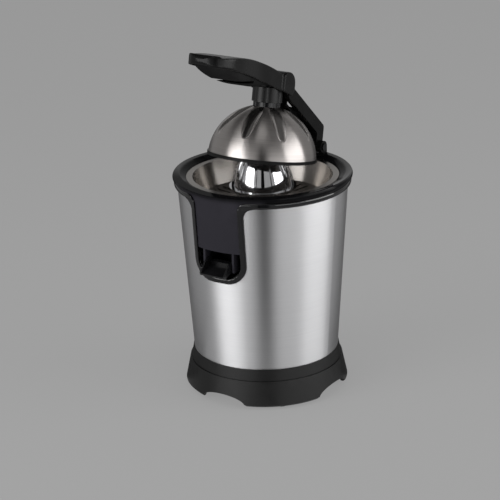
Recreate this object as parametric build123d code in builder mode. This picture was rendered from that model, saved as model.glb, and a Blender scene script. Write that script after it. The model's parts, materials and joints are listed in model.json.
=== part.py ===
"""Electric citrus juicer with a lever, in millimetres, front to -Y, standing on z = 0."""
import os
from math import acos, asin, atan2, cos, degrees, pi, radians, sin, sqrt, tan

from build123d import *

os.makedirs("parts", exist_ok=True)

# Fits
fit = 0.3
running_fit = 0.06
wall = 2.5

# Base with four feet
pad_height = 2.5
pad_radius = 8.0
pad_recess = 1.5
foot_inset = 5.0
foot_lug_radius = 10.0
foot_lug_height = 11.5
ridge_height = 30.0
ridge_step = 1.4
ridge_flare = 3.2
shoulder_height = 12.0
base_flare = 10.0
base_chamfer = 2.5
base_wall = 3.2
base_ledge = 1.0
locator_height = 6.0
arch_half = 27.0
arch_height = 10.0
foot_angle = 45.0
feet = 4
plate_thickness = 3.0
plate_gap = 1.5
vent_slots = 9
vent_length = 26.0
vent_width = 3.0
vent_pitch = 8.0
cord_height = 24.0
gland_radius = 6.0
gland_bore = 3.4
gland_outside = 3.5

# Steel body, a cone
body_bottom_radius = 78.0
body_top_radius = 90.0
steel = 1.0

# Trim on the body's top edge: a bead that is carried down round the opening in front
bead_height = 7.0
bead_bulge = 3.6
bead_shelf = 3.0
ledge_inset = 5.5
skirt_depth = 9.0
frame_overlap = 0.6
notch_half = 26.3
notch_corner = 17.0
notch_flare = 10.0
frame_width = 5.5
frame_height = 2.4
frame_flare = 10.0

# Motor, below the chassis plate
motor_gap = 9.0
motor_length = 58.0
motor_radius = 24.5
motor_clear = 1.5
motor_wall = 2.0
motor_end_thickness = 3.0
motor_shaft_radius = 2.5
motor_bush_radius = 6.0
motor_bush_length = 4.0
motor_hole_radius = 8.0
field_inset = 12.0
field_thickness = 5.0
air_gap = 1.0
armature_inset = 2.0
armature_slots = 12
armature_slot_width = 2.4
armature_slot_depth = 4.0
commutator_radius = 9.0
commutator_lift = 4.0

# Chassis inside the body
chassis_thickness = 4.0
chassis_inset = 7.0
leg_radius = 5.0
leg_inset = 15.0
leg_angles = (-90.0, 20.0, 160.0)
leg_screw_radius = 2.0
leg_screw_head = 4.0
leg_screw_head_height = 2.5
leg_screw_depth = 10.0

# Thrust cup, its guide and the start switch
press_travel = 2.5
cup_radius = 9.0
cup_over = 3.0
cup_height = 13.0
guide_radius = 12.0
guide_length = 29.0
guide_floor = 3.0
stem_radius = 3.0
stem_below = 2.0
spring_wire = 0.75
spring_radius = 5.6
spring_turns = 6
switch_height = 14.0
switch_half_x = 10.0
switch_half_y = 5.5
switch_cheek = 2.0
plunger_radius = 1.5
plunger_length = 6.0
plunger_out = 3.0

# Gears, as teeth and modules
output_teeth = 45
idler_pinion_teeth = 15
output_module = 1.25
idler_wheel_teeth = 42
motor_teeth = 13
motor_module = 1.0
pressure_angle = radians(20.0)
addendum = 0.85
dedendum = 1.2
backlash = 0.24
wheel_lift = 9.0
wheel_face = 6.0
gear_gap = 4.0
output_gear_face = 8.0
output_hub_radius = 8.0
output_hub_below = 6.0
hub_gap = 0.4
idler_over = 5.0
idler_boss_radius = 6.0
axle_radius = 3.0
axle_above = 2.0
motor_pinion_below = 1.5
motor_pinion_face = 8.5

# Cover over the gears, with the tower of the drive shaft
cover_gap = 4.0
cover_thickness = 3.0
tower_radius = 13.0
tower_bore = 8.0
tower_drop = 4.0
bush_length = 13.0
seal_height = 4.0
shaft_radius = 4.0

# Spout pocket, duct and spout
pocket_gap = 12.5
pocket_wall = 2.0
pocket_clear = 1.5
pocket_drop = 5.0
duct_lift = 8.0
duct_height = 21.0
duct_half = 19.0
duct_depth = 13.5
duct_inset = 1.7
outlet_half = 12.0
outlet_edge = 1.5
spout_pin_inset = 10.2
spout_pin_lift = 4.5
spout_pin_radius = 1.6
spout_half = 15.5
spout_length = 23.0
spout_wall = 2.0
spout_side = 8.0
spout_fall = 16.0
spout_knuckle = 3.4

# Juice collector: bowl, lip that stands on the trim and dips to the front, and front panel
lip_height = 7.5
lip_overhang = 5.0
lip_width = 6.2
lip_drop = 0.8
lip_dip = 4.5
lip_dip_start = 10.0
lip_fade = 14.0
lip_step = 0.2
crown_inset = 1.8
spigot_depth = 3.0
seat_over_trim = 2.1
seat_wall = 1.2
seat_inset = 3.5
seat_width = 5.0
bowl_taper = 7.0
floor_over_duct = 4.0
floor_rise = 4.0
juice_depth = 26.1
chimney_radius = 14.2
chimney_over = 2.0
panel_thickness = 2.6
panel_proud = 0.8
panel_gap = 0.4

# Strainer
sheet = 0.8
strainer_gap = 0.4
strainer_lip = 6.6
strainer_taper = 8.0
strainer_depth = 25.0
strainer_rise = 4.0
strainer_hole_radius = 20.0
slots = 36
slot_length = 18.0
slot_inset = 6.0
slot_width = 2.2

# Reamer
flange_radius = 35.5
flange_lift = 12.4
flange_thickness = 1.8
cone_radius = 30.5
cone_height = 57.0
cone_tip_radius = 3.0
cone_bulge = 5.0
cone_shell = 1.2
ribs = 10
rib_width = 2.2
rib_depth = 2.6
rib_reach = 0.84
hub_radius = 8.0
hub_clear = 3.5
hub_rise = 21.0
hub_cap = 4.0
hub_plate = 2.0
hex_below = 1.5

# Lever, drawn as it stands when closed, then lifted as in the photograph
lift = radians(11.4)
hinge_inset = 12.0
hinge_over_rim = 7.5
barrel_radius = 6.5
pin_radius = 2.5
arm_half = 19.0
arm_thickness = 13.0
arm_slope = radians(31.5)
arm_corner = 5.0
slot_half = 12.8
slot_bridge = 16.5
web_clear = 1.4
carrier_gap = 1.6
carrier_thickness = 2.6
carrier_half = 12.0
riser_clear = 2.6
head_thickness = 3.0
head_radius = 12.0
stud_radius = 7.0
bracket_half = 25.0
bracket_clear = 1.0
pin_head_radius = 4.0
pin_head_height = 1.5

# Dome, neck and collar, measured up from the trim's top along the dome's axis
dome_bottom = -1.8
dome_radius = 57.0
dome_rise = 53.0
dome_sheet = 1.0
dome_centre_drop = 2.4
flutes = 8
flute_turn = radians(10.0)
flute_radius = 11.0
flute_top_angle = radians(12.0)
flute_mid_angle = radians(43.0)
flute_bottom_angle = radians(61.0)
flute_top_depth = -0.3
flute_mid_depth = 3.2
flute_bottom_depth = 0.8
edge_height = 3.4
edge_thickness = 0.9
neck_radius = 13.6
neck_height = 4.6
neck_ribs = 16
neck_rib_radius = 0.8
collar_radius = 16.0
collar_lobe_radius = 10.0
collar_lobes = 6
collar_height = 15.6
collar_clear = 0.3
stud_screw_radius = 2.5
stud_screw_head = 6.0
stud_screw_head_height = 3.0
stud_screw_depth = 12.0

# Handle, with heights from its knuckle on the arm and places from the dome's axis
handle_skin = 2.6
knuckle_rise = 8.4
knuckle_depth = 14.2
knuckle_front_depth = 9.2
knuckle_round = 4.0
knuckle_step = 1.5
knuckle_rear_y = 20.0
knuckle_front_y = -1.0
knuckle_half = 21.0
handle_half = 18.5
handle_waist_y = -37.0
handle_mid_y = -57.0
handle_bow = 15.1
handle_low_y = -70.0
handle_depth = 15.3
paddle_half = 25.0
paddle_length = 30.0
handle_reach = 128.0
tip_round = 10.0
tip_under = 4.0
tip_rise = 17.6
tip_depth = 9.2
cover_rear_y = -14.0
cover_rear_lift = 7.6
cover_mid_y = -57.0
cover_drop = 11.6
cover_front_inset = 13.0
cover_front_lift = 0.4
cover_rise = 4.0
cover_round = 7.0
grip_slot_height = 2.6
grip_slot_length = 30.0
grip_slot_y = -69.0
grip_slot_lift = 4.8

# Heights from the worktop up, each from the one below it
foot_lug_top = pad_height + foot_lug_height
plate_top = foot_lug_top + plate_thickness
body_bottom = ridge_height + shoulder_height
motor_bottom = plate_top + motor_gap
chassis_height = motor_bottom + motor_length
chassis_top = chassis_height + chassis_thickness
wheel_bottom = chassis_top + wheel_lift
output_gear_bottom = wheel_bottom + wheel_face + gear_gap
idler_top = output_gear_bottom + output_gear_face + idler_over
cover_height = idler_top + axle_above + cover_gap
notch_bottom = cover_height + cover_thickness + pocket_gap + pocket_wall
duct_bottom = notch_bottom + duct_lift
panel_bottom = duct_bottom + duct_height
floor_height = panel_bottom + floor_over_duct
strainer_hole_height = floor_height + juice_depth
strainer_floor_height = strainer_hole_height + strainer_rise
seat_height = strainer_floor_height + strainer_depth
bead_top = seat_height - seat_over_trim
body_top = bead_top - bead_height
rim_top = bead_top + lip_height

# Heights of the drive, from the chassis and the strainer
guide_bottom = chassis_height - guide_length
stem_bottom = guide_bottom - stem_below
switch_top = stem_bottom - plunger_out
cup_top = chassis_top + cup_over
output_hub_bottom = output_gear_bottom - output_hub_below
motor_pinion_bottom = wheel_bottom - motor_pinion_below
chimney_top = strainer_hole_height + chimney_over
tower_top = chimney_top - tower_drop
flange_height = strainer_floor_height + flange_lift
hub_bottom = chimney_top + hub_clear
hub_top = flange_height + hub_rise
shaft_hex_bottom = hub_bottom - hex_below
shaft_top = hub_top - hub_cap

# Radii of the base, from the body's foot
ridge_radius = body_bottom_radius + ridge_flare
base_radius = body_bottom_radius + base_flare
foot_circle = body_bottom_radius - foot_inset
leg_circle = body_bottom_radius - leg_inset
chassis_radius = body_bottom_radius - chassis_inset

# Radii of the trim, the collector and the strainer, from the body's top
bead_radius = body_top_radius + bead_bulge
waist_radius = body_top_radius + bead_shelf
ledge_radius = body_top_radius - ledge_inset
rim_radius = body_top_radius + lip_overhang
lip_crown_radius = rim_radius - crown_inset
lip_inner_radius = rim_radius - lip_width
slope_inner_radius = ledge_radius - seat_inset
seat_inner_radius = slope_inner_radius - seat_width
floor_radius = seat_inner_radius - bowl_taper
strainer_lip_radius = slope_inner_radius - strainer_gap
strainer_lip_inner = strainer_lip_radius - strainer_lip
strainer_floor_radius = strainer_lip_inner - strainer_taper
body_slope = (body_top_radius - body_bottom_radius) / (body_top - body_bottom)


def body_radius(height):
    """Outer radius of the steel cone at a height."""
    return body_bottom_radius + (height - body_bottom) * body_slope


def upright(angle):
    """Upright plane through the axis: x at an angle from +X, facing as the front does when that is zero."""
    return Plane(origin=(0, 0, 0), x_dir=(cos(angle), sin(angle), 0), z_dir=(sin(angle), -cos(angle), 0))


def level(height):
    """Level plane at a height."""
    return Plane.XY.offset(height)


def polar(radius, angle):
    """Point at a radius and an angle."""
    return (radius * cos(angle), radius * sin(angle))


def u_face(half, bottom, corner, top, flare=0.0):
    """Face with straight sides, a rounded bottom and a top that may flare out in quarter rounds."""
    with BuildSketch() as face:
        with BuildLine():
            Line((-half - flare, top), (half + flare, top))
            Line((half, top - flare), (half, bottom + corner))
            CenterArc((half - corner, bottom + corner), corner, 270, 90)
            Line((half - corner, bottom), (corner - half, bottom))
            CenterArc((corner - half, bottom + corner), corner, 180, 90)
            Line((-half, bottom + corner), (-half, top - flare))
            if flare > 0:
                CenterArc((half + flare, top - flare), flare, 90, 90)
                CenterArc((-half - flare, top - flare), flare, 0, 90)
        make_face()
    return face.sketch


def gear_face(teeth, module, turn):
    """Spur gear's face with a tooth at the angle turn."""
    pitch = teeth * module / 2
    base = pitch * cos(pressure_angle)
    tip = pitch + addendum * module
    root = pitch - dedendum * module
    start = max(base, root)
    half = pi / (2 * teeth) - backlash / (2 * pitch) + tan(pressure_angle) - pressure_angle

    def half_angle(radius):
        pressure = acos(min(1.0, base / radius))
        return half - tan(pressure) + pressure

    middle = (start + tip) / 2
    step = 2 * pi / teeth
    with BuildSketch() as face:
        with BuildLine():
            for tooth in range(teeth):
                a = turn + tooth * step
                b = turn + ((tooth + 1) % teeth) * step
                low, mid, high = half_angle(start), half_angle(middle), half_angle(tip)
                if base > root:
                    Line(polar(root, a - low), polar(start, a - low))
                    Line(polar(start, a + low), polar(root, a + low))
                ThreePointArc(polar(start, a - low), polar(middle, a - mid), polar(tip, a - high))
                ThreePointArc(polar(tip, a - high), polar(tip, a), polar(tip, a + high))
                ThreePointArc(polar(tip, a + high), polar(middle, a + mid), polar(start, a + low))
                ThreePointArc(polar(root, a + low), polar(root, a + step / 2), polar(root, b - low))
        make_face()
    return face.sketch


# Steel body
with BuildPart() as body_shell:
    with BuildSketch(Plane.XZ):
        with BuildLine():
            Polyline(
                (body_bottom_radius, body_bottom), (body_top_radius, body_top),
                (body_top_radius - steel, body_top), (body_bottom_radius - steel, body_bottom), close=True)
        make_face()
    revolve(axis=Axis.Z)
    with BuildSketch(Plane.XZ):
        add(u_face(notch_half + steel, notch_bottom - steel, notch_corner + steel, rim_top))
    extrude(amount=rim_radius, mode=Mode.SUBTRACT)

# Trim: a bead on the body's top edge, cut open in front, with a frame down round the opening
frame_low = notch_bottom - frame_width
with BuildPart() as rim_trim:
    with BuildSketch(Plane.XZ):
        add(u_face(notch_half + frame_width, frame_low, notch_corner + frame_width, body_top, frame_flare))
    extrude(amount=rim_radius)
    with BuildSketch(Plane.XZ):
        with BuildLine():
            Polyline(
                (body_radius(frame_low), frame_low), (body_radius(frame_low) + frame_height, frame_low),
                (body_top_radius + frame_height, body_top), (body_top_radius, body_top), close=True)
        make_face()
    revolve(axis=Axis.Z, mode=Mode.INTERSECT)
    with BuildSketch(Plane.XZ):
        skirt_bottom = body_top - skirt_depth
        skirt_radius = body_radius(skirt_bottom) - steel - fit
        with BuildLine():
            Line((skirt_radius, skirt_bottom), (body_top_radius - steel - fit, body_top))
            Line((body_top_radius - steel - fit, body_top), (body_top_radius + frame_overlap, body_top))
            ThreePointArc(
                (body_top_radius + frame_overlap, body_top),
                (bead_radius, (body_top + bead_top) / 2), (waist_radius, bead_top))
            Line((waist_radius, bead_top), (ledge_radius, bead_top))
            Line((ledge_radius, bead_top), (skirt_radius - wall, skirt_bottom))
            Line((skirt_radius - wall, skirt_bottom), (skirt_radius, skirt_bottom))
        make_face()
    revolve(axis=Axis.Z)
    with BuildSketch(Plane.XZ):
        add(u_face(notch_half, notch_bottom, notch_corner, bead_top, notch_flare))
    extrude(amount=rim_radius + wall, mode=Mode.SUBTRACT)

# Pocket behind the spout, inside the body
pocket_half = notch_half + pocket_wall
pocket_top = panel_bottom - pocket_drop
duct_back = floor_radius - duct_depth
duct_front = body_radius(panel_bottom) - duct_inset
pocket_back = duct_back - pocket_clear - pocket_wall
outlet_front = floor_radius - outlet_edge
spout_pin_height = duct_bottom + spout_pin_lift
spout_pin_y = spout_pin_inset - body_radius(spout_pin_height)
with BuildPart() as spout_pocket:
    with BuildSketch(Plane.XZ.offset(pocket_back)):
        add(u_face(pocket_half, notch_bottom - pocket_wall, notch_corner + pocket_wall, pocket_top))
    extrude(amount=rim_radius - pocket_back)
    with BuildSketch(Plane.XZ.offset(pocket_back + pocket_wall)):
        add(u_face(notch_half, notch_bottom, notch_corner, pocket_top + wall))
    extrude(amount=rim_radius, mode=Mode.SUBTRACT)
    with BuildSketch(Plane.XZ):
        with BuildLine():
            Polyline(
                (0, frame_low), (body_radius(frame_low) - steel, frame_low),
                (body_radius(rim_top) - steel, rim_top), (0, rim_top), close=True)
        make_face()
    revolve(axis=Axis.Z, mode=Mode.INTERSECT)

# Base with four feet and arches between them
with BuildPart() as base_skirt:
    with BuildSketch(Plane.XZ):
        locator_top = body_bottom + locator_height
        with BuildLine():
            Polyline(
                (base_radius - base_chamfer, pad_height), (base_radius, pad_height + base_chamfer),
                (ridge_radius + ridge_step, ridge_height), (ridge_radius, ridge_height),
                (body_bottom_radius + base_ledge, body_bottom),
                (body_bottom_radius - steel - fit, body_bottom),
                (body_radius(locator_top) - steel - fit, locator_top),
                (body_radius(locator_top) - steel - fit - base_wall, locator_top),
                (body_bottom_radius - steel - fit - base_wall, body_bottom - base_wall),
                (base_radius - base_chamfer - base_wall, pad_height), close=True)
        make_face()
    revolve(axis=Axis.Z)
    with BuildSketch(level(pad_height)):
        with PolarLocations(foot_circle, feet, start_angle=foot_angle):
            Circle(foot_lug_radius)
    extrude(amount=foot_lug_top - pad_height)
    with BuildSketch(level(pad_height)):
        with PolarLocations(foot_circle, feet, start_angle=foot_angle):
            Circle(pad_radius)
    extrude(amount=pad_recess, mode=Mode.SUBTRACT)
    for foot in range(feet):
        with BuildSketch(upright(foot * 2 * pi / feet)):
            with Locations((0, pad_height)):
                Ellipse(arch_half, arch_height)
        extrude(amount=base_radius + wall, mode=Mode.SUBTRACT)
    with BuildSketch(upright(pi)):
        with Locations((0, cord_height)):
            Circle(gland_radius)
    extrude(amount=base_radius + wall, mode=Mode.SUBTRACT)

with BuildPart() as rubber_feet:
    with BuildSketch(level(0)):
        with PolarLocations(foot_circle, feet, start_angle=foot_angle):
            Circle(pad_radius)
    extrude(amount=pad_height + pad_recess)

plate_radius = body_bottom_radius - plate_gap
with BuildPart() as base_plate:
    with BuildSketch(level(foot_lug_top)):
        Circle(plate_radius)
        with GridLocations(vent_pitch, 1, vent_slots, 1):
            SlotOverall(vent_length, vent_width, rotation=90, mode=Mode.SUBTRACT)
        for angle in leg_angles:
            with Locations(polar(leg_circle, radians(angle))):
                Circle(leg_screw_radius, mode=Mode.SUBTRACT)
    extrude(amount=plate_thickness)

with BuildPart() as base_screws:
    with BuildSketch(level(foot_lug_top - leg_screw_head_height)):
        for angle in leg_angles:
            with Locations(polar(leg_circle, radians(angle))):
                Circle(leg_screw_head)
    extrude(amount=leg_screw_head_height)
    with BuildSketch(level(foot_lug_top)):
        for angle in leg_angles:
            with Locations(polar(leg_circle, radians(angle))):
                Circle(leg_screw_radius)
    extrude(amount=plate_thickness + leg_screw_depth)

with BuildPart() as cord_gland:
    with BuildSketch(upright(pi).offset(body_bottom_radius)):
        with Locations((0, cord_height)):
            Circle(gland_radius)
            Circle(gland_bore, mode=Mode.SUBTRACT)
    extrude(amount=base_radius + gland_outside - body_bottom_radius)

# Gear places
motor_distance = guide_radius + motor_radius + motor_clear
output_distance = (output_teeth + idler_pinion_teeth) * output_module / 2
idler_distance = (idler_wheel_teeth + motor_teeth) * motor_module / 2
idler_y = (output_distance ** 2 - idler_distance ** 2 + motor_distance ** 2) / (2 * motor_distance)
idler_x = sqrt(output_distance ** 2 - idler_y ** 2)

# Chassis with the motor plate, its legs, the guide of the thrust cup and the cheeks of the switch
with BuildPart() as chassis:
    with BuildSketch(level(chassis_height)):
        Circle(chassis_radius)
    extrude(amount=chassis_thickness)
    with BuildSketch(level(plate_top)):
        for angle in leg_angles:
            with Locations(polar(leg_circle, radians(angle))):
                Circle(leg_radius)
    extrude(amount=cover_height - plate_top)
    with BuildSketch(level(guide_bottom)):
        Circle(guide_radius)
    extrude(amount=chassis_height - guide_bottom)
    with BuildSketch(level(switch_top - switch_height)):
        for side in (-1, 1):
            with Locations((side * (switch_half_x + switch_cheek / 2), 0)):
                Rectangle(switch_cheek, 2 * switch_half_y)
    extrude(amount=guide_bottom + guide_floor - switch_top + switch_height)
    with BuildSketch(level(chassis_top)):
        with Locations((idler_x, idler_y)):
            Circle(idler_boss_radius)
    extrude(amount=wheel_bottom - chassis_top)
    with BuildSketch(level(guide_bottom + guide_floor)):
        Circle(cup_radius + running_fit)
    extrude(amount=cup_top, mode=Mode.SUBTRACT)
    with BuildSketch(level(guide_bottom)):
        Circle(stem_radius + running_fit)
    extrude(amount=guide_floor, mode=Mode.SUBTRACT)
    with BuildSketch(level(chassis_height)):
        with Locations((idler_x, idler_y)):
            Circle(axle_radius)
        with Locations((0, motor_distance)):
            Circle(motor_hole_radius)
    extrude(amount=wheel_bottom - chassis_height, mode=Mode.SUBTRACT)
    with BuildSketch(level(plate_top)):
        for angle in leg_angles:
            with Locations(polar(leg_circle, radians(angle))):
                Circle(leg_screw_radius)
    extrude(amount=leg_screw_depth, mode=Mode.SUBTRACT)

# Cover over the motor, with the tower for the drive shaft
with BuildPart() as motor_cover:
    with BuildSketch(level(cover_height)):
        Circle(body_radius(cover_height) - steel - fit)
    extrude(amount=cover_thickness)
    with BuildSketch(level(cover_height)):
        Circle(tower_radius)
    extrude(amount=tower_top - cover_height)
    with BuildSketch(level(cover_height)):
        Circle(tower_bore)
    extrude(amount=tower_top - cover_height, mode=Mode.SUBTRACT)

with BuildPart() as lower_bush:
    with BuildSketch(level(cover_height)):
        Circle(tower_bore)
        Circle(shaft_radius + running_fit, mode=Mode.SUBTRACT)
    extrude(amount=bush_length)

with BuildPart() as upper_bush:
    with BuildSketch(level(tower_top - seal_height - bush_length)):
        Circle(tower_bore)
        Circle(shaft_radius + running_fit, mode=Mode.SUBTRACT)
    extrude(amount=bush_length)

with BuildPart() as shaft_seal:
    with BuildSketch(level(tower_top - seal_height)):
        Circle(tower_bore)
        Circle(shaft_radius + running_fit, mode=Mode.SUBTRACT)
    extrude(amount=seal_height)

# Thrust cup, spring and start switch
with BuildPart() as thrust_cup:
    with BuildSketch(level(cup_top - cup_height)):
        Circle(cup_radius)
    extrude(amount=cup_height)
    with BuildSketch(level(stem_bottom)):
        Circle(stem_radius)
    extrude(amount=cup_top - cup_height - stem_bottom)

spring_bottom = guide_bottom + guide_floor
spring_length = cup_top - cup_height - spring_bottom
with BuildPart() as return_spring:
    with BuildLine(level(spring_bottom + spring_wire)) as spring_path:
        Helix((spring_length - 2 * spring_wire) / spring_turns, spring_length - 2 * spring_wire, spring_radius)
    with BuildSketch(Plane(origin=spring_path.line @ 0, z_dir=spring_path.line % 0)):
        Circle(spring_wire)
    sweep(path=spring_path.line, is_frenet=True)

with BuildPart() as start_switch:
    with BuildSketch(level(switch_top - switch_height)):
        Rectangle(2 * switch_half_x, 2 * switch_half_y)
    extrude(amount=switch_height)
    with BuildSketch(level(switch_top)):
        Circle(plunger_radius + running_fit)
    extrude(amount=stem_bottom - switch_top - plunger_length - press_travel - fit, mode=Mode.SUBTRACT)

with BuildPart() as switch_plunger:
    with BuildSketch(level(stem_bottom - plunger_length)):
        Circle(plunger_radius)
    extrude(amount=plunger_length)

# Gears and shafts
with BuildPart() as drive_shaft:
    with BuildSketch(level(cup_top)):
        Circle(shaft_radius)
    extrude(amount=shaft_hex_bottom - cup_top)
    with BuildSketch(level(shaft_hex_bottom)):
        RegularPolygon(shaft_radius, 6)
    extrude(amount=shaft_top - shaft_hex_bottom)

output_turn = atan2(idler_y, idler_x)
wheel_turn = atan2(motor_distance - idler_y, -idler_x)
with BuildPart() as output_gear:
    with BuildSketch(level(output_gear_bottom)):
        add(gear_face(output_teeth, output_module, output_turn))
    extrude(amount=output_gear_face)
    with BuildSketch(level(output_hub_bottom)):
        Circle(output_hub_radius)
    extrude(amount=cover_height - hub_gap - output_hub_bottom)
    with BuildSketch(level(output_hub_bottom)):
        Circle(shaft_radius)
    extrude(amount=cover_height, mode=Mode.SUBTRACT)

with BuildPart() as idler_gear:
    with BuildSketch(Plane(origin=(idler_x, idler_y, wheel_bottom))):
        add(gear_face(idler_wheel_teeth, motor_module, wheel_turn))
    extrude(amount=wheel_face)
    with BuildSketch(Plane(origin=(idler_x, idler_y, wheel_bottom + wheel_face))):
        add(gear_face(idler_pinion_teeth, output_module, output_turn + pi + pi / idler_pinion_teeth))
    extrude(amount=idler_top - wheel_bottom - wheel_face)
    with BuildSketch(Plane(origin=(idler_x, idler_y, wheel_bottom))):
        Circle(axle_radius + running_fit)
    extrude(amount=idler_top, mode=Mode.SUBTRACT)

with BuildPart() as idler_axle:
    with BuildSketch(Plane(origin=(idler_x, idler_y, chassis_height))):
        Circle(axle_radius)
    extrude(amount=idler_top + axle_above - chassis_height)

with BuildPart() as motor_pinion:
    with BuildSketch(Plane(origin=(0, motor_distance, motor_pinion_bottom))):
        add(gear_face(motor_teeth, motor_module, wheel_turn + pi + pi / motor_teeth))
        Circle(motor_shaft_radius, mode=Mode.SUBTRACT)
    extrude(amount=motor_pinion_face)

with BuildPart() as motor_shaft:
    with BuildSketch(Plane(origin=(0, motor_distance, motor_bottom - motor_end_thickness))):
        Circle(motor_shaft_radius)
    extrude(amount=motor_pinion_bottom + motor_pinion_face - motor_bottom + motor_end_thickness)

# Motor
field_inner = motor_radius - motor_wall - field_thickness
field_bottom = motor_bottom + field_inset
field_top = chassis_height - field_inset
armature_radius = field_inner - air_gap
armature_bottom = field_bottom + armature_inset
armature_top = field_top - armature_inset
commutator_bottom = motor_bottom + commutator_lift
commutator_top = armature_bottom - armature_inset
with BuildPart() as motor_can:
    with BuildSketch(Plane(origin=(0, motor_distance, motor_bottom))):
        Circle(motor_radius)
    extrude(amount=chassis_height - motor_bottom)
    with BuildSketch(Plane(origin=(0, motor_distance, motor_bottom))):
        Circle(motor_radius - motor_wall)
    extrude(amount=chassis_height - motor_bottom - motor_wall, mode=Mode.SUBTRACT)
    with BuildSketch(Plane(origin=(0, motor_distance, motor_bottom))):
        Circle(motor_bush_radius)
    extrude(amount=chassis_height - motor_bottom, mode=Mode.SUBTRACT)

with BuildPart() as motor_end:
    with BuildSketch(Plane(origin=(0, motor_distance, motor_bottom - motor_end_thickness))):
        Circle(motor_radius)
        Circle(motor_shaft_radius + running_fit, mode=Mode.SUBTRACT)
    extrude(amount=motor_end_thickness)

with BuildPart() as motor_bush:
    with BuildSketch(Plane(origin=(0, motor_distance, chassis_height - motor_bush_length))):
        Circle(motor_bush_radius)
        Circle(motor_shaft_radius + running_fit, mode=Mode.SUBTRACT)
    extrude(amount=motor_bush_length)

with BuildPart() as motor_field:
    with BuildSketch(Plane(origin=(0, motor_distance, field_bottom))):
        Circle(motor_radius - motor_wall)
        Circle(field_inner, mode=Mode.SUBTRACT)
    extrude(amount=field_top - field_bottom)

with BuildPart() as motor_armature:
    with BuildSketch(Plane(origin=(0, motor_distance, armature_bottom))):
        Circle(armature_radius)
        with PolarLocations(armature_radius, armature_slots):
            Rectangle(2 * armature_slot_depth, armature_slot_width, mode=Mode.SUBTRACT)
        Circle(motor_shaft_radius, mode=Mode.SUBTRACT)
    extrude(amount=armature_top - armature_bottom)

with BuildPart() as motor_commutator:
    with BuildSketch(Plane(origin=(0, motor_distance, commutator_bottom))):
        Circle(commutator_radius)
        Circle(motor_shaft_radius, mode=Mode.SUBTRACT)
    extrude(amount=commutator_top - commutator_bottom)

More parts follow.
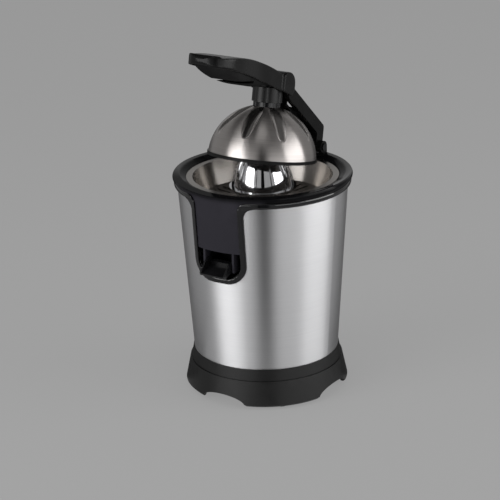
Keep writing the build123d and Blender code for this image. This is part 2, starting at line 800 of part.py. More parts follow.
# Juice collector: a bowl whose lip stands on the trim and runs down in front as a panel, with a duct below
hinge_y = rim_radius - hinge_inset
bracket_foot_y = slope_inner_radius + bracket_clear
panel_half = notch_half - panel_gap
panel_flare = notch_flare + panel_gap
panel_front = body_radius(bead_top) + panel_proud
spigot_bottom = bead_top - spigot_depth
dip_reach = lip_dip_start + rim_radius
dip_radius = (dip_reach ** 2 + (lip_dip + fit) ** 2) / (2 * (lip_dip + fit))
duct_roof = panel_bottom + wall
with BuildPart() as juice_collector:
    with BuildSketch(Plane.XZ):
        with BuildLine():
            Line((-panel_half, panel_bottom), (panel_half, panel_bottom))
            Line((panel_half, panel_bottom), (panel_half, bead_top - panel_flare))
            CenterArc((panel_half + panel_flare, bead_top - panel_flare), panel_flare, 90, 90)
            Line((panel_half + panel_flare, bead_top), (-panel_half - panel_flare, bead_top))
            CenterArc((-panel_half - panel_flare, bead_top - panel_flare), panel_flare, 0, 90)
            Line((-panel_half, bead_top - panel_flare), (-panel_half, panel_bottom))
        make_face()
    extrude(amount=rim_radius + wall)
    with BuildSketch(Plane.XZ):
        with BuildLine():
            Polyline(
                (body_radius(panel_bottom) + panel_proud - panel_thickness, panel_bottom),
                (body_radius(panel_bottom) + panel_proud, panel_bottom), (panel_front, bead_top),
                (panel_front - panel_thickness, bead_top), close=True)
        make_face()
    revolve(axis=Axis.Z, mode=Mode.INTERSECT)
    with BuildSketch(Plane.XZ):
        with BuildLine():
            Line((ledge_radius - fit, spigot_bottom), (ledge_radius - fit, bead_top))
            Line((ledge_radius - fit, bead_top), (waist_radius, bead_top))
            ThreePointArc(
                (waist_radius, bead_top), (rim_radius, (bead_top + rim_top) / 2), (lip_crown_radius, rim_top))
            Polyline(
                (lip_crown_radius, rim_top), (lip_inner_radius, rim_top - lip_drop),
                (slope_inner_radius, seat_height + seat_wall), (slope_inner_radius, seat_height),
                (seat_inner_radius, seat_height), (floor_radius, floor_height),
                (chimney_radius + wall, floor_height + floor_rise), (chimney_radius + wall, chimney_top),
                (chimney_radius, chimney_top), (chimney_radius, floor_height + floor_rise - wall),
                (floor_radius, floor_height - wall), (floor_radius + wall, floor_height),
                (seat_inner_radius + wall, spigot_bottom), (ledge_radius - fit, spigot_bottom))
        make_face()
    revolve(axis=Axis.Z)
    with BuildSketch(level(panel_bottom)):
        with Locations((0, lip_fade)):
            Circle(panel_front + lip_step + lip_fade)
    extrude(amount=rim_top, mode=Mode.INTERSECT)
    with BuildSketch(Plane.YZ):
        dip_centre = (lip_dip_start, rim_top + fit - dip_radius)
        with BuildLine():
            dip = CenterArc(dip_centre, dip_radius, 90, degrees(asin((dip_reach + wall) / dip_radius)))
            Polyline(
                dip @ 1, (lip_dip_start - dip_reach - wall, rim_top + wall),
                (lip_dip_start, rim_top + wall), dip @ 0)
        make_face()
    extrude(amount=rim_radius, both=True, mode=Mode.SUBTRACT)
    with BuildSketch(level(duct_bottom)):
        with Locations((0, -(duct_back + duct_front) / 2)):
            Rectangle(2 * duct_half, duct_front - duct_back)
    extrude(amount=duct_roof - duct_bottom)
    with BuildSketch(level(duct_bottom + wall)):
        with Locations((0, -(duct_back + wall + rim_radius) / 2)):
            Rectangle(2 * (duct_half - wall), rim_radius - duct_back - wall)
    extrude(amount=panel_bottom - duct_bottom - wall, mode=Mode.SUBTRACT)
    with BuildSketch(level(duct_bottom)):
        with Locations((0, (spout_pin_y + spout_knuckle + fit - rim_radius) / 2)):
            Rectangle(2 * (duct_half - wall), rim_radius + spout_pin_y + spout_knuckle + fit)
    extrude(amount=wall, mode=Mode.SUBTRACT)
    with BuildSketch(level(panel_bottom)):
        with Locations((0, -(duct_back + wall + outlet_front) / 2)):
            Rectangle(2 * outlet_half, outlet_front - duct_back - wall)
    extrude(amount=floor_height + floor_rise - panel_bottom, mode=Mode.SUBTRACT)
    with BuildSketch(Plane.YZ):
        with Locations((spout_pin_y, spout_pin_height)):
            Circle(spout_pin_radius)
    extrude(amount=duct_half, both=True, mode=Mode.SUBTRACT)
    with BuildSketch(level(spigot_bottom)):
        with Locations((0, (bracket_foot_y - fit + rim_radius + wall) / 2)):
            Rectangle(2 * (bracket_half + fit), rim_radius + wall - bracket_foot_y + fit)
    extrude(amount=rim_top, mode=Mode.SUBTRACT)

# Spout that tips up to stop the drip
fall = radians(spout_fall)
spout_side_plane = Plane(
    origin=(0, spout_pin_y, spout_pin_height), x_dir=(0, -cos(fall), -sin(fall)), z_dir=(-1, 0, 0))
with BuildPart() as spout:
    with BuildSketch(spout_side_plane):
        with BuildLine():
            Polyline(
                (0, -spout_wall), (spout_length, -spout_wall), (spout_length, spout_wall / 2),
                (spout_length / 2, spout_side), (0, spout_side), close=True)
        make_face()
        Circle(spout_knuckle)
    extrude(amount=spout_half, both=True)
    with BuildSketch(spout_side_plane):
        with BuildLine():
            Polyline(
                (-spout_knuckle, spout_knuckle), (spout_knuckle + fit, spout_knuckle), (spout_knuckle + fit, 0),
                (spout_length + wall, 0), (spout_length + wall, 2 * spout_side),
                (-spout_knuckle, 2 * spout_side), close=True)
        make_face()
    extrude(amount=spout_half - spout_wall, both=True, mode=Mode.SUBTRACT)
    with BuildSketch(spout_side_plane):
        Circle(spout_pin_radius + running_fit)
    extrude(amount=spout_half, both=True, mode=Mode.SUBTRACT)

with BuildPart() as spout_pin:
    with BuildSketch(Plane.YZ):
        with Locations((spout_pin_y, spout_pin_height)):
            Circle(spout_pin_radius)
    extrude(amount=duct_half, both=True)

# Strainer
slot_outer = strainer_floor_radius - slot_inset
with BuildPart() as strainer:
    with BuildSketch(Plane.XZ):
        with BuildLine():
            Polyline(
                (strainer_lip_radius, seat_height), (strainer_lip_radius, seat_height + sheet),
                (strainer_lip_inner, seat_height + sheet), (strainer_floor_radius, strainer_floor_height + sheet),
                (strainer_hole_radius, strainer_hole_height + sheet), (strainer_hole_radius, strainer_hole_height),
                (strainer_floor_radius + sheet, strainer_floor_height), (strainer_lip_inner + sheet, seat_height),
                close=True)
        make_face()
    revolve(axis=Axis.Z)
    with BuildSketch(level(strainer_hole_height - sheet)):
        with PolarLocations(slot_outer - slot_length / 2, slots):
            SlotOverall(slot_length, slot_width)
    extrude(amount=strainer_floor_height - strainer_hole_height + 3 * sheet, mode=Mode.SUBTRACT)

# Reamer cone with its ribs
cone_bottom = flange_height + flange_thickness
cone_top = flange_height + cone_height
cone_mid = ((cone_radius + cone_tip_radius) / 2 + cone_bulge, (cone_bottom + cone_top) / 2)
cone_line = ThreePointArc((cone_radius, cone_bottom), cone_mid, (cone_tip_radius, cone_top))
rib_mid = cone_line @ (rib_reach / 2)
rib_end = cone_line @ rib_reach
rib_root = cone_shell / 2
with BuildPart() as reamer_cone:
    with BuildSketch(Plane.XZ):
        with BuildLine():
            Line((cone_radius - cone_shell, flange_height), (flange_radius, flange_height))
            Line((flange_radius, flange_height), (flange_radius, cone_bottom))
            Line((flange_radius, cone_bottom), (cone_radius, cone_bottom))
            ThreePointArc((cone_radius, cone_bottom), cone_mid, (cone_tip_radius, cone_top))
            RadiusArc((cone_tip_radius, cone_top), (0, cone_top + cone_tip_radius), -cone_tip_radius)
            Line((0, cone_top + cone_tip_radius), (0, cone_top - cone_shell))
            ThreePointArc(
                (0, cone_top - cone_shell), (cone_mid[0] - cone_shell, cone_mid[1]),
                (cone_radius - cone_shell, flange_height))
        make_face()
    revolve(axis=Axis.Z)
    for rib in range(ribs):
        turn = rib * 2 * pi / ribs
        with BuildSketch(upright(turn)):
            with BuildLine():
                Line((cone_radius - rib_root, cone_bottom), (cone_radius + rib_depth, cone_bottom))
                ThreePointArc(
                    (cone_radius + rib_depth, cone_bottom), (rib_mid.X + rib_depth, rib_mid.Y),
                    (rib_end.X - rib_root, rib_end.Y))
                ThreePointArc(
                    (rib_end.X - rib_root, rib_end.Y), (rib_mid.X - rib_root, rib_mid.Y),
                    (cone_radius - rib_root, cone_bottom))
            make_face()
        extrude(amount=rib_width / 2, both=True)

with BuildPart() as cone_base:
    with BuildSketch(level(flange_height - hub_plate)):
        Circle(flange_radius - wall)
    extrude(amount=hub_plate)
    with BuildSketch(level(hub_bottom)):
        Circle(hub_radius)
    extrude(amount=hub_top - hub_bottom)
    with BuildSketch(level(hub_bottom)):
        RegularPolygon(shaft_radius + running_fit, 6)
    extrude(amount=shaft_top + running_fit - hub_bottom, mode=Mode.SUBTRACT)

# Bracket on the rear of the trim that the lever turns in, flush with the lip on both sides of it
hinge_height = rim_top + hinge_over_rim
with BuildPart() as hinge_bracket:
    with BuildSketch(Plane.YZ):
        with BuildLine():
            Polyline(
                (bracket_foot_y, bead_top), (bracket_foot_y, hinge_height), (hinge_y + barrel_radius, hinge_height),
                (hinge_y + barrel_radius, rim_top), (rim_radius, rim_top), (rim_radius, bead_top), close=True)
        make_face()
        with Locations((hinge_y, hinge_height)):
            Circle(barrel_radius)
    extrude(amount=bracket_half, both=True)
    with BuildSketch(Plane.XZ):
        with BuildLine():
            ThreePointArc(
                (waist_radius, bead_top), (rim_radius, (bead_top + rim_top) / 2), (lip_crown_radius, rim_top))
            Polyline(
                (lip_crown_radius, rim_top), (2 * rim_radius, rim_top), (2 * rim_radius, bead_top),
                (waist_radius, bead_top))
        make_face()
    revolve(axis=Axis.Z, mode=Mode.SUBTRACT)
    with BuildSketch(level(rim_top + fit)):
        with Locations((0, hinge_y)):
            Rectangle(2 * (arm_half + fit), rim_radius)
    extrude(amount=rim_top, mode=Mode.SUBTRACT)
    with BuildSketch(Plane.YZ):
        with Locations((hinge_y, hinge_height)):
            Circle(pin_radius)
    extrude(amount=bracket_half, both=True, mode=Mode.SUBTRACT)

with BuildPart() as hinge_pin:
    with BuildSketch(Plane.YZ):
        with Locations((hinge_y, hinge_height)):
            Circle(pin_radius)
    extrude(amount=bracket_half, both=True)
    for side in (-1, 1):
        with BuildSketch(Plane.YZ.offset(side * bracket_half)):
            with Locations((hinge_y, hinge_height)):
                Circle(pin_head_radius)
        extrude(amount=side * pin_head_height)

# Lever frame: sketches lie as the lever does when closed, and the frame is lifted about the hinge
lever_y = Vector(0, cos(lift), -sin(lift))
lever_z = Vector(0, sin(lift), cos(lift))


def lever_point(y, over_rim):
    """Place in the lifted lever of a point that is at y and over the trim's top when closed."""
    return Vector(0, hinge_y, hinge_height) + lever_y * (y - hinge_y) + lever_z * (over_rim - hinge_over_rim)


def lever_level(over_rim, y=0.0):
    """Plane across the lever, level when it is closed."""
    return Plane(origin=lever_point(y, over_rim), x_dir=(1, 0, 0), z_dir=lever_z)


lever_side = Plane(origin=lever_point(0, 0), x_dir=lever_y, z_dir=(1, 0, 0))
dome_axis = Axis(lever_point(0, 0), lever_z)

# Heights of the dome's stack over the trim
dome_top = dome_bottom + dome_rise
neck_top = dome_top + neck_height
collar_bottom = neck_top + collar_clear
collar_top = collar_bottom + collar_height
head_bottom = collar_top + collar_clear
head_top = head_bottom + head_thickness
dome_sphere = sqrt(dome_radius ** 2 + dome_centre_drop ** 2)
dome_centre = dome_bottom - dome_centre_drop

# Line of the arm, which runs clear of the dome with the carrier between them
carrier_deep = carrier_gap + carrier_thickness
leg_front = hinge_y - arm_thickness / 2
leg_rear = hinge_y + arm_thickness / 2
slot_rear_y = leg_front - slot_bridge
arm_front_y = sqrt(collar_radius ** 2 - slot_half ** 2) + wall
arm_reach = dome_sphere + web_clear + carrier_deep
inner_kink = dome_centre + arm_reach / cos(arm_slope) - leg_front * tan(arm_slope)
kink_over_rim = inner_kink - arm_thickness * tan(arm_slope) + arm_thickness / cos(arm_slope)
riser_y = collar_radius + riser_clear
riser_rear = riser_y + carrier_thickness


def under_arm(y, drop):
    """Height over the trim at y of a line that runs below the arm's slope by a distance."""
    return inner_kink + (leg_front - y) * tan(arm_slope) - drop / cos(arm_slope)


def arm_face():
    """Side face of the arm."""
    with BuildSketch() as face:
        with BuildLine():
            FilletPolyline(
                (leg_front, hinge_over_rim), (leg_front, inner_kink), (arm_front_y, under_arm(arm_front_y, 0)),
                (arm_front_y, under_arm(arm_front_y, -arm_thickness)), (leg_rear, kink_over_rim),
                (leg_rear, hinge_over_rim), radius=arm_corner, close=True)
        make_face()
    return face.sketch


with BuildPart() as lever_arm:
    with BuildSketch(lever_side):
        add(arm_face())
        with Locations((hinge_y, hinge_over_rim)):
            Circle(barrel_radius)
    extrude(amount=arm_half, both=True)
    with BuildSketch(lever_side):
        with BuildLine():
            Polyline(
                (slot_rear_y, 0), (slot_rear_y, 2 * rim_radius), (-rim_radius, 2 * rim_radius), (-rim_radius, 0),
                close=True)
        make_face()
    extrude(amount=slot_half, both=True, mode=Mode.SUBTRACT)
    with BuildSketch(lever_side):
        with Locations((hinge_y, hinge_over_rim)):
            Circle(pin_radius + running_fit)
    extrude(amount=arm_half, both=True, mode=Mode.SUBTRACT)

# Carrier of the dome: a web under the arm, a riser, a head and a stud
with BuildPart() as dome_carrier:
    with BuildSketch(lever_side):
        with BuildLine():
            Polyline(
                (leg_front, under_arm(leg_front, carrier_gap)), (riser_rear, under_arm(riser_rear, carrier_gap)),
                (riser_rear, head_top), (0, head_top), (0, head_bottom), (riser_y, head_bottom),
                (riser_y, under_arm(riser_y, carrier_deep)), (leg_front, under_arm(leg_front, carrier_deep)),
                close=True)
        make_face()
    extrude(amount=carrier_half, both=True)
    with BuildSketch(lever_level(head_bottom)):
        Circle(head_radius)
    extrude(amount=head_thickness)
    with BuildSketch(lever_level(neck_top)):
        Circle(stud_radius)
    extrude(amount=head_bottom - neck_top)
    with BuildSketch(lever_level(neck_top)):
        Circle(stud_screw_radius)
    extrude(amount=stud_screw_depth, mode=Mode.SUBTRACT)
    add(lever_arm.part, mode=Mode.SUBTRACT)

with BuildPart() as dome_collar:
    with BuildSketch(lever_level(collar_bottom)):
        with PolarLocations(collar_radius - collar_lobe_radius, collar_lobes, start_angle=-90):
            Circle(collar_lobe_radius)
        Circle(stud_radius + running_fit, mode=Mode.SUBTRACT)
    extrude(amount=collar_height)

with BuildPart() as dome_neck:
    with BuildSketch(lever_level(dome_top)):
        Circle(neck_radius)
        with PolarLocations(neck_radius, neck_ribs):
            Circle(neck_rib_radius)
        Circle(stud_screw_radius, mode=Mode.SUBTRACT)
    extrude(amount=neck_height)

with BuildPart() as stud_screw:
    with BuildSketch(lever_level(dome_top - dome_sheet - stud_screw_head_height)):
        Circle(stud_screw_head)
    extrude(amount=stud_screw_head_height)
    with BuildSketch(lever_level(dome_top - dome_sheet)):
        Circle(stud_screw_radius)
    extrude(amount=dome_sheet + neck_height + stud_screw_depth)

# Press dome: a sphere's cap with a flat top, pressed in by flutes that are deepest half way down


def flute_place(angle, depth):
    """Centre of the flute's round at an angle from the dome's axis, in the plane of the flute."""
    reach = dome_sphere + flute_radius - depth
    return (reach * sin(angle), dome_centre + reach * cos(angle))


def flute_plane(flute):
    """Plane through the dome's axis along one flute, with x outwards."""
    turn = flute_turn + flute * 2 * pi / flutes
    outward = Vector(1, 0, 0) * sin(turn) - lever_y * cos(turn)
    across = Vector(-1, 0, 0) * cos(turn) - lever_y * sin(turn)
    return Plane(origin=lever_point(0, 0), x_dir=outward, z_dir=across)


def dome_solid(inset, flute_extra, bottom):
    """Solid dome with its flutes cut, inset from the outside by a thickness."""
    with BuildPart() as solid:
        with BuildSketch(flute_plane(0)):
            with BuildLine():
                radius = dome_sphere - inset
                flat = dome_top - inset
                flat_radius = sqrt(radius ** 2 - (flat - dome_centre) ** 2)
                foot_radius = sqrt(radius ** 2 - (bottom - dome_centre) ** 2)
                angle = (acos((flat - dome_centre) / radius) + acos((bottom - dome_centre) / radius)) / 2
                Line((0, bottom), (foot_radius, bottom))
                ThreePointArc(
                    (foot_radius, bottom), (radius * sin(angle), dome_centre + radius * cos(angle)),
                    (flat_radius, flat))
                Line((flat_radius, flat), (0, flat))
                Line((0, flat), (0, bottom))
            make_face()
        revolve(axis=dome_axis)
        for flute in range(flutes):
            plane = flute_plane(flute)
            low = flute_place(flute_bottom_angle, flute_bottom_depth)
            mid = flute_place(flute_mid_angle, flute_mid_depth)
            high = flute_place(flute_top_angle, flute_top_depth)
            with BuildLine(plane) as route:
                ThreePointArc(low, mid, high)
            arc = route.edges()[0]
            with BuildSketch(Plane(origin=arc @ 0, x_dir=plane.z_dir, z_dir=arc % 0)):
                Circle(flute_radius + flute_extra)
            sweep(path=arc, mode=Mode.SUBTRACT)
            with Locations(plane.from_local_coords((low[0], low[1], 0))):
                Sphere(flute_radius + flute_extra, mode=Mode.SUBTRACT)
    return solid.part


dome_outside = dome_solid(0, 0, dome_bottom)
dome_inside = dome_solid(dome_sheet, dome_sheet, dome_bottom - wall)
with BuildPart() as press_dome:
    add(dome_outside)
    add(dome_inside, mode=Mode.SUBTRACT)
    with BuildSketch(lever_level(dome_top - 2 * dome_sheet)):
        Circle(stud_screw_radius)
    extrude(amount=3 * dome_sheet, mode=Mode.SUBTRACT)

with BuildPart() as dome_edge:
    with BuildSketch(lever_level(dome_bottom - edge_thickness)):
        Circle(dome_radius + edge_thickness)
        Circle(dome_radius - dome_sheet - edge_thickness, mode=Mode.SUBTRACT)
    extrude(amount=edge_height)
    add(dome_outside, mode=Mode.SUBTRACT)

# Handle: a shell over the arm's end, wider at its paddle, closed by a belly below
knuckle_rear_top = head_top + handle_skin + fit
knuckle_top = knuckle_rear_top + knuckle_rise
knuckle_low = knuckle_rear_top - knuckle_depth
knuckle_low_front = knuckle_rear_top - knuckle_front_depth
handle_mid_top = knuckle_top + handle_bow
handle_low = handle_mid_top - handle_depth
tip_y = -handle_reach
tip_top_y = tip_y + tip_round
tip_bottom_y = tip_y + tip_under
tip_top = knuckle_top + tip_rise
tip_bottom = tip_top - tip_depth
paddle_y = tip_y + paddle_length
cover_rear_low = knuckle_low_front + cover_rear_lift
cover_mid_low = handle_low - cover_drop
cover_front_y = tip_y + cover_front_inset
cover_front_low = tip_bottom + cover_front_lift


def handle_plan(inset):
    """Outline from above of the handle, inset by a thickness and left open behind when inset."""
    rear = knuckle_rear_y + 2 * inset
    with BuildSketch() as face:
        with BuildLine():
            Line((0, rear), (knuckle_half - inset, rear))
            Line((knuckle_half - inset, rear), (knuckle_half - inset, knuckle_front_y))
            Line((knuckle_half - inset, knuckle_front_y), (handle_half - inset, knuckle_front_y - knuckle_step))
            Line((handle_half - inset, knuckle_front_y - knuckle_step), (handle_half - inset, handle_waist_y))
            Spline(
                (handle_half - inset, handle_waist_y), (paddle_half - inset, paddle_y), tangents=((0, -1), (0, -1)))
            Spline((paddle_half - inset, paddle_y), (0, tip_y + inset), tangents=((0, -1), (-1, 0)))
            mirror(about=Plane.YZ)
        make_face()
    return face.sketch


with BuildPart() as handle_core:
    with BuildSketch(lever_side):
        with BuildLine():
            ThreePointArc(
                (knuckle_front_y, knuckle_top - handle_skin), (handle_mid_y, handle_mid_top - handle_skin),
                (tip_top_y, tip_top - handle_skin))
            Polyline(
                (tip_top_y, tip_top - handle_skin), (tip_y, tip_bottom), (tip_y, 0), (rim_radius, 0),
                (rim_radius, knuckle_rear_top - handle_skin), (knuckle_rear_y, knuckle_rear_top - handle_skin),
                (knuckle_front_y, knuckle_top - handle_skin))
        make_face()
    extrude(amount=2 * paddle_half, both=True)
    with BuildSketch(lever_level(0)):
        add(handle_plan(handle_skin))
    extrude(amount=2 * rim_radius, mode=Mode.INTERSECT)

with BuildPart() as handle_shell:
    with BuildSketch(lever_side):
        with BuildLine():
            ThreePointArc(
                (knuckle_front_y, knuckle_top), (handle_mid_y, handle_mid_top), (tip_top_y, tip_top))
            ThreePointArc(
                (tip_top_y, tip_top), (tip_y, (tip_top + tip_bottom) / 2), (tip_bottom_y, tip_bottom))
            ThreePointArc(
                (tip_bottom_y, tip_bottom), (handle_low_y, handle_low), (knuckle_front_y, knuckle_low_front))
            Polyline(
                (knuckle_front_y, knuckle_low_front), (knuckle_rear_y - knuckle_round, knuckle_low),
                (knuckle_rear_y, knuckle_low + knuckle_round), (knuckle_rear_y, knuckle_rear_top))
            ThreePointArc(
                (knuckle_rear_y, knuckle_rear_top),
                (knuckle_rear_y - knuckle_round / 2, (knuckle_rear_top + knuckle_top) / 2 + knuckle_round / 4),
                (knuckle_front_y, knuckle_top))
        make_face()
    extrude(amount=2 * paddle_half, both=True)
    with BuildSketch(lever_level(0)):
        add(handle_plan(0))
    extrude(amount=2 * rim_radius, mode=Mode.INTERSECT)
    add(handle_core.part, mode=Mode.SUBTRACT)
    with BuildSketch(lever_side):
        add(arm_face())
    extrude(amount=arm_half, both=True, mode=Mode.SUBTRACT)

with BuildPart() as handle_cover:
    with BuildSketch(lever_side):
        with BuildLine():
            ThreePointArc(
                (cover_rear_y, cover_rear_low), (cover_mid_y, cover_mid_low), (cover_front_y, cover_front_low))
            Line((cover_front_y, cover_front_low), (cover_front_y, cover_front_low + cover_rise))
            ThreePointArc(
                (cover_front_y, cover_front_low + cover_rise), (handle_low_y, handle_low + cover_rise),
                (cover_rear_y, cover_rear_low + cover_rise))
            Line((cover_rear_y, cover_rear_low + cover_rise), (cover_rear_y, cover_rear_low))
        make_face()
    extrude(amount=2 * paddle_half, both=True)
    with BuildSketch(lever_level(0)):
        add(handle_plan(handle_skin))
    extrude(amount=2 * rim_radius, mode=Mode.INTERSECT)
    belly = handle_cover.faces().filter_by(GeomType.CYLINDER).sort_by(Axis(lever_point(0, 0), lever_z))[0]
    fillet(belly.edges().filter_by(GeomType.LINE, reverse=True), radius=cover_round)
    with BuildSketch(lever_side):
        with Locations((grip_slot_y, cover_mid_low + grip_slot_lift)):
            SlotOverall(grip_slot_length, grip_slot_height)
    extrude(amount=paddle_half, both=True, mode=Mode.SUBTRACT)

pieces = {
    "body_shell": body_shell, "rim_trim": rim_trim, "spout_pocket": spout_pocket, "base_skirt": base_skirt,
    "rubber_feet": rubber_feet, "base_plate": base_plate, "base_screws": base_screws, "cord_gland": cord_gland,
    "chassis": chassis, "motor_cover": motor_cover, "lower_bush": lower_bush, "upper_bush": upper_bush,
    "shaft_seal": shaft_seal, "thrust_cup": thrust_cup, "return_spring": return_spring,
    "start_switch": start_switch, "switch_plunger": switch_plunger, "drive_shaft": drive_shaft,
    "output_gear": output_gear, "idler_gear": idler_gear, "idler_axle": idler_axle, "motor_pinion": motor_pinion,
    "motor_shaft": motor_shaft, "motor_can": motor_can, "motor_end": motor_end, "motor_bush": motor_bush,
    "motor_field": motor_field, "motor_armature": motor_armature, "motor_commutator": motor_commutator,
    "juice_collector": juice_collector, "spout": spout, "spout_pin": spout_pin, "strainer": strainer,
    "reamer_cone": reamer_cone, "cone_base": cone_base, "hinge_bracket": hinge_bracket, "hinge_pin": hinge_pin,
    "lever_arm": lever_arm, "dome_carrier": dome_carrier, "dome_collar": dome_collar, "dome_neck": dome_neck,
    "stud_screw": stud_screw, "press_dome": press_dome, "dome_edge": dome_edge, "handle_shell": handle_shell,
    "handle_cover": handle_cover}
for name, piece in pieces.items():
    piece.part.label = name
    export_step(piece.part, f"parts/{name}.step")
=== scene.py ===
"""Citrus juicer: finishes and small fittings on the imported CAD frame, and a studio round it."""

import json
from math import atan2, cos, radians, sin, tan

import bpy
import bmesh
from mathutils import Matrix, Quaternion, Vector


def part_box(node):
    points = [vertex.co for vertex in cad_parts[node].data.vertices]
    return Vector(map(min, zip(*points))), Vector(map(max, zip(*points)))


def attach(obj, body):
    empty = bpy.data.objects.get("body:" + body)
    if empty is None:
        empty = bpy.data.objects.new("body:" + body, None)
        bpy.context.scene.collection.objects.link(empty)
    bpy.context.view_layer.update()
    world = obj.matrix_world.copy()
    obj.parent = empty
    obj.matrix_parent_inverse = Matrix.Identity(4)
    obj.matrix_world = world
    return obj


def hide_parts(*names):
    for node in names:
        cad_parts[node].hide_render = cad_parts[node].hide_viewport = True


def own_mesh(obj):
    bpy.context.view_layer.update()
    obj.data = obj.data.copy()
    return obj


bl_info = {
    "name": "Citrus juicer",
    "version": (1, 0, 0),
    "blender": (4, 5, 0),
    "location": "View3D > Sidebar > Juicer",
    "description": "Finishes a citrus juicer's CAD frame, adds its small fittings and lights it",
    "category": "Object",
}

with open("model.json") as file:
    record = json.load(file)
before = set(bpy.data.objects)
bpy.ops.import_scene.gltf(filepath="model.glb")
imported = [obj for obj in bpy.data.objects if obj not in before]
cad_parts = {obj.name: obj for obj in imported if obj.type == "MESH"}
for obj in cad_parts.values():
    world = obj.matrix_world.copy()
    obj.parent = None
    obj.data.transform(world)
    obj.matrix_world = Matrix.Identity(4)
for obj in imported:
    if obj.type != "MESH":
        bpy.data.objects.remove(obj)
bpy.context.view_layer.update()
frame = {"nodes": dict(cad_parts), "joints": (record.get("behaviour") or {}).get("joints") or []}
nodes = frame["nodes"]
joints = {joint["name"]: joint for joint in frame["joints"]}
lever_lift = radians(-joints["lever_hinge"]["range_deg"][0])
dome_axis_foot = Vector(joints["collar_twist"]["pos_m"])
dome_axis = Vector((0, sin(lever_lift), cos(lever_lift)))

# Relief of the finishes, in metres
line_width = 0.0005
line_depth = 0.0003
grain_depth = 0.0002

# Limits of the mesh tools
smooth_angle = radians(40)
merge_distance = 1e-6

# First, second and result socket of a Mix node, by its kind
mix_sockets = {"FLOAT": (2, 3, 0), "RGBA": (6, 7, 2)}


# Kinds of settings

def colour(name, description, default):
    """A colour property."""
    return bpy.props.FloatVectorProperty(
        name=name, description=description, subtype="COLOR", size=3, min=0.0, max=1.0, default=default)


def length(name, description, default):
    """A length property, in metres."""
    return bpy.props.FloatProperty(
        name=name, description=description, subtype="DISTANCE", unit="LENGTH", precision=5, default=default)


def extent(name, description, default):
    """A width and a height, in metres."""
    return bpy.props.FloatVectorProperty(
        name=name, description=description, unit="LENGTH", size=2, default=default)


def angle(name, description, default):
    """An angle property, given in degrees."""
    return bpy.props.FloatProperty(
        name=name, description=description, subtype="ANGLE", unit="ROTATION", default=radians(default))


def share(name, description, default):
    """A plain number from 0 to 1."""
    return bpy.props.FloatProperty(
        name=name, description=description, subtype="FACTOR", min=0.0, max=1.0, default=default)


def count(name, description, default):
    """A whole number."""
    return bpy.props.IntProperty(name=name, description=description, min=0, default=default)


def power(name, description, default):
    """A lamp's power, in watts."""
    return bpy.props.FloatProperty(name=name, description=description, unit="POWER", default=default)


class JuicerFinishes(bpy.types.PropertyGroup):
    """Colours and gloss of the juicer's materials."""
    body_steel: colour("Body steel", "Light lines of the body's brushed steel", (0.675, 0.675, 0.685))
    body_steel_dark: colour("Body steel, dark", "Dark lines of the body's brushed steel", (0.64, 0.64, 0.65))
    dome_steel: colour("Dome steel", "Light lines of the dome's steel", (0.455, 0.43, 0.415))
    dome_steel_dark: colour("Dome steel, dark", "Dark lines of the dome's steel", (0.385, 0.362, 0.35))
    flute_steel: colour("Flute steel", "Pressed flutes and inside of the dome", (0.43, 0.41, 0.395))
    # Painted highlight: this colour is painted round the edges of the pressed flutes in place of the light
    # they catch.
    flute_rim_highlight: colour("Flute rim", "Bright edge round a pressed flute", (0.72, 0.69, 0.67))
    strainer_steel: colour("Strainer steel", "Light lines of the strainer's steel", (0.40, 0.377, 0.355))
    strainer_steel_dark: colour(
        "Strainer steel, dark", "Dark lines of the strainer's steel", (0.37, 0.348, 0.326))
    chrome: colour("Chrome", "Polished plate of the reamer", (0.80, 0.80, 0.81))
    trim_black: colour(
        "Trim black", "Plastic of the trim, the neck, the spout and the collector", (0.004, 0.004, 0.0045))
    base_black: colour("Base black", "Satin plastic of the base", (0.0045, 0.0045, 0.0045))
    lever_black: colour("Lever black", "Satin plastic of the lever and its bracket", (0.005, 0.005, 0.005))
    cover_black: colour("Cover black", "Dull plastic under the handle", (0.014, 0.014, 0.014))
    panel_slate: colour("Panel slate", "Satin plastic of the front panel", (0.0235, 0.0224, 0.028))
    rubber_black: colour("Rubber black", "Feet, seal and gland", (0.012, 0.012, 0.012))
    inner_grey: colour("Inner grey", "Moulded parts inside the body", (0.16, 0.16, 0.17))
    nylon: colour("Nylon", "Gears, thrust cup and switch plunger", (0.70, 0.68, 0.61))
    turned_steel: colour("Turned steel", "Shafts, pins and the spring", (0.55, 0.55, 0.56))
    zinc: colour("Zinc", "Plated screws and the motor's can", (0.50, 0.52, 0.55))
    blackened: colour("Blackened steel", "Hinge pin", (0.03, 0.03, 0.032))
    bronze: colour("Bronze", "Sintered bushes", (0.48, 0.32, 0.16))
    iron: colour("Iron", "Laminations of the motor", (0.16, 0.16, 0.17))
    copper: colour("Copper", "Commutator", (0.70, 0.34, 0.20))
    brushing: share("Brushing", "How far brushed steel stretches its highlights", 0.9)
    crest_coat: share("Crest coat", "Clear coat on the crests of the trim and the collector", 0.9)


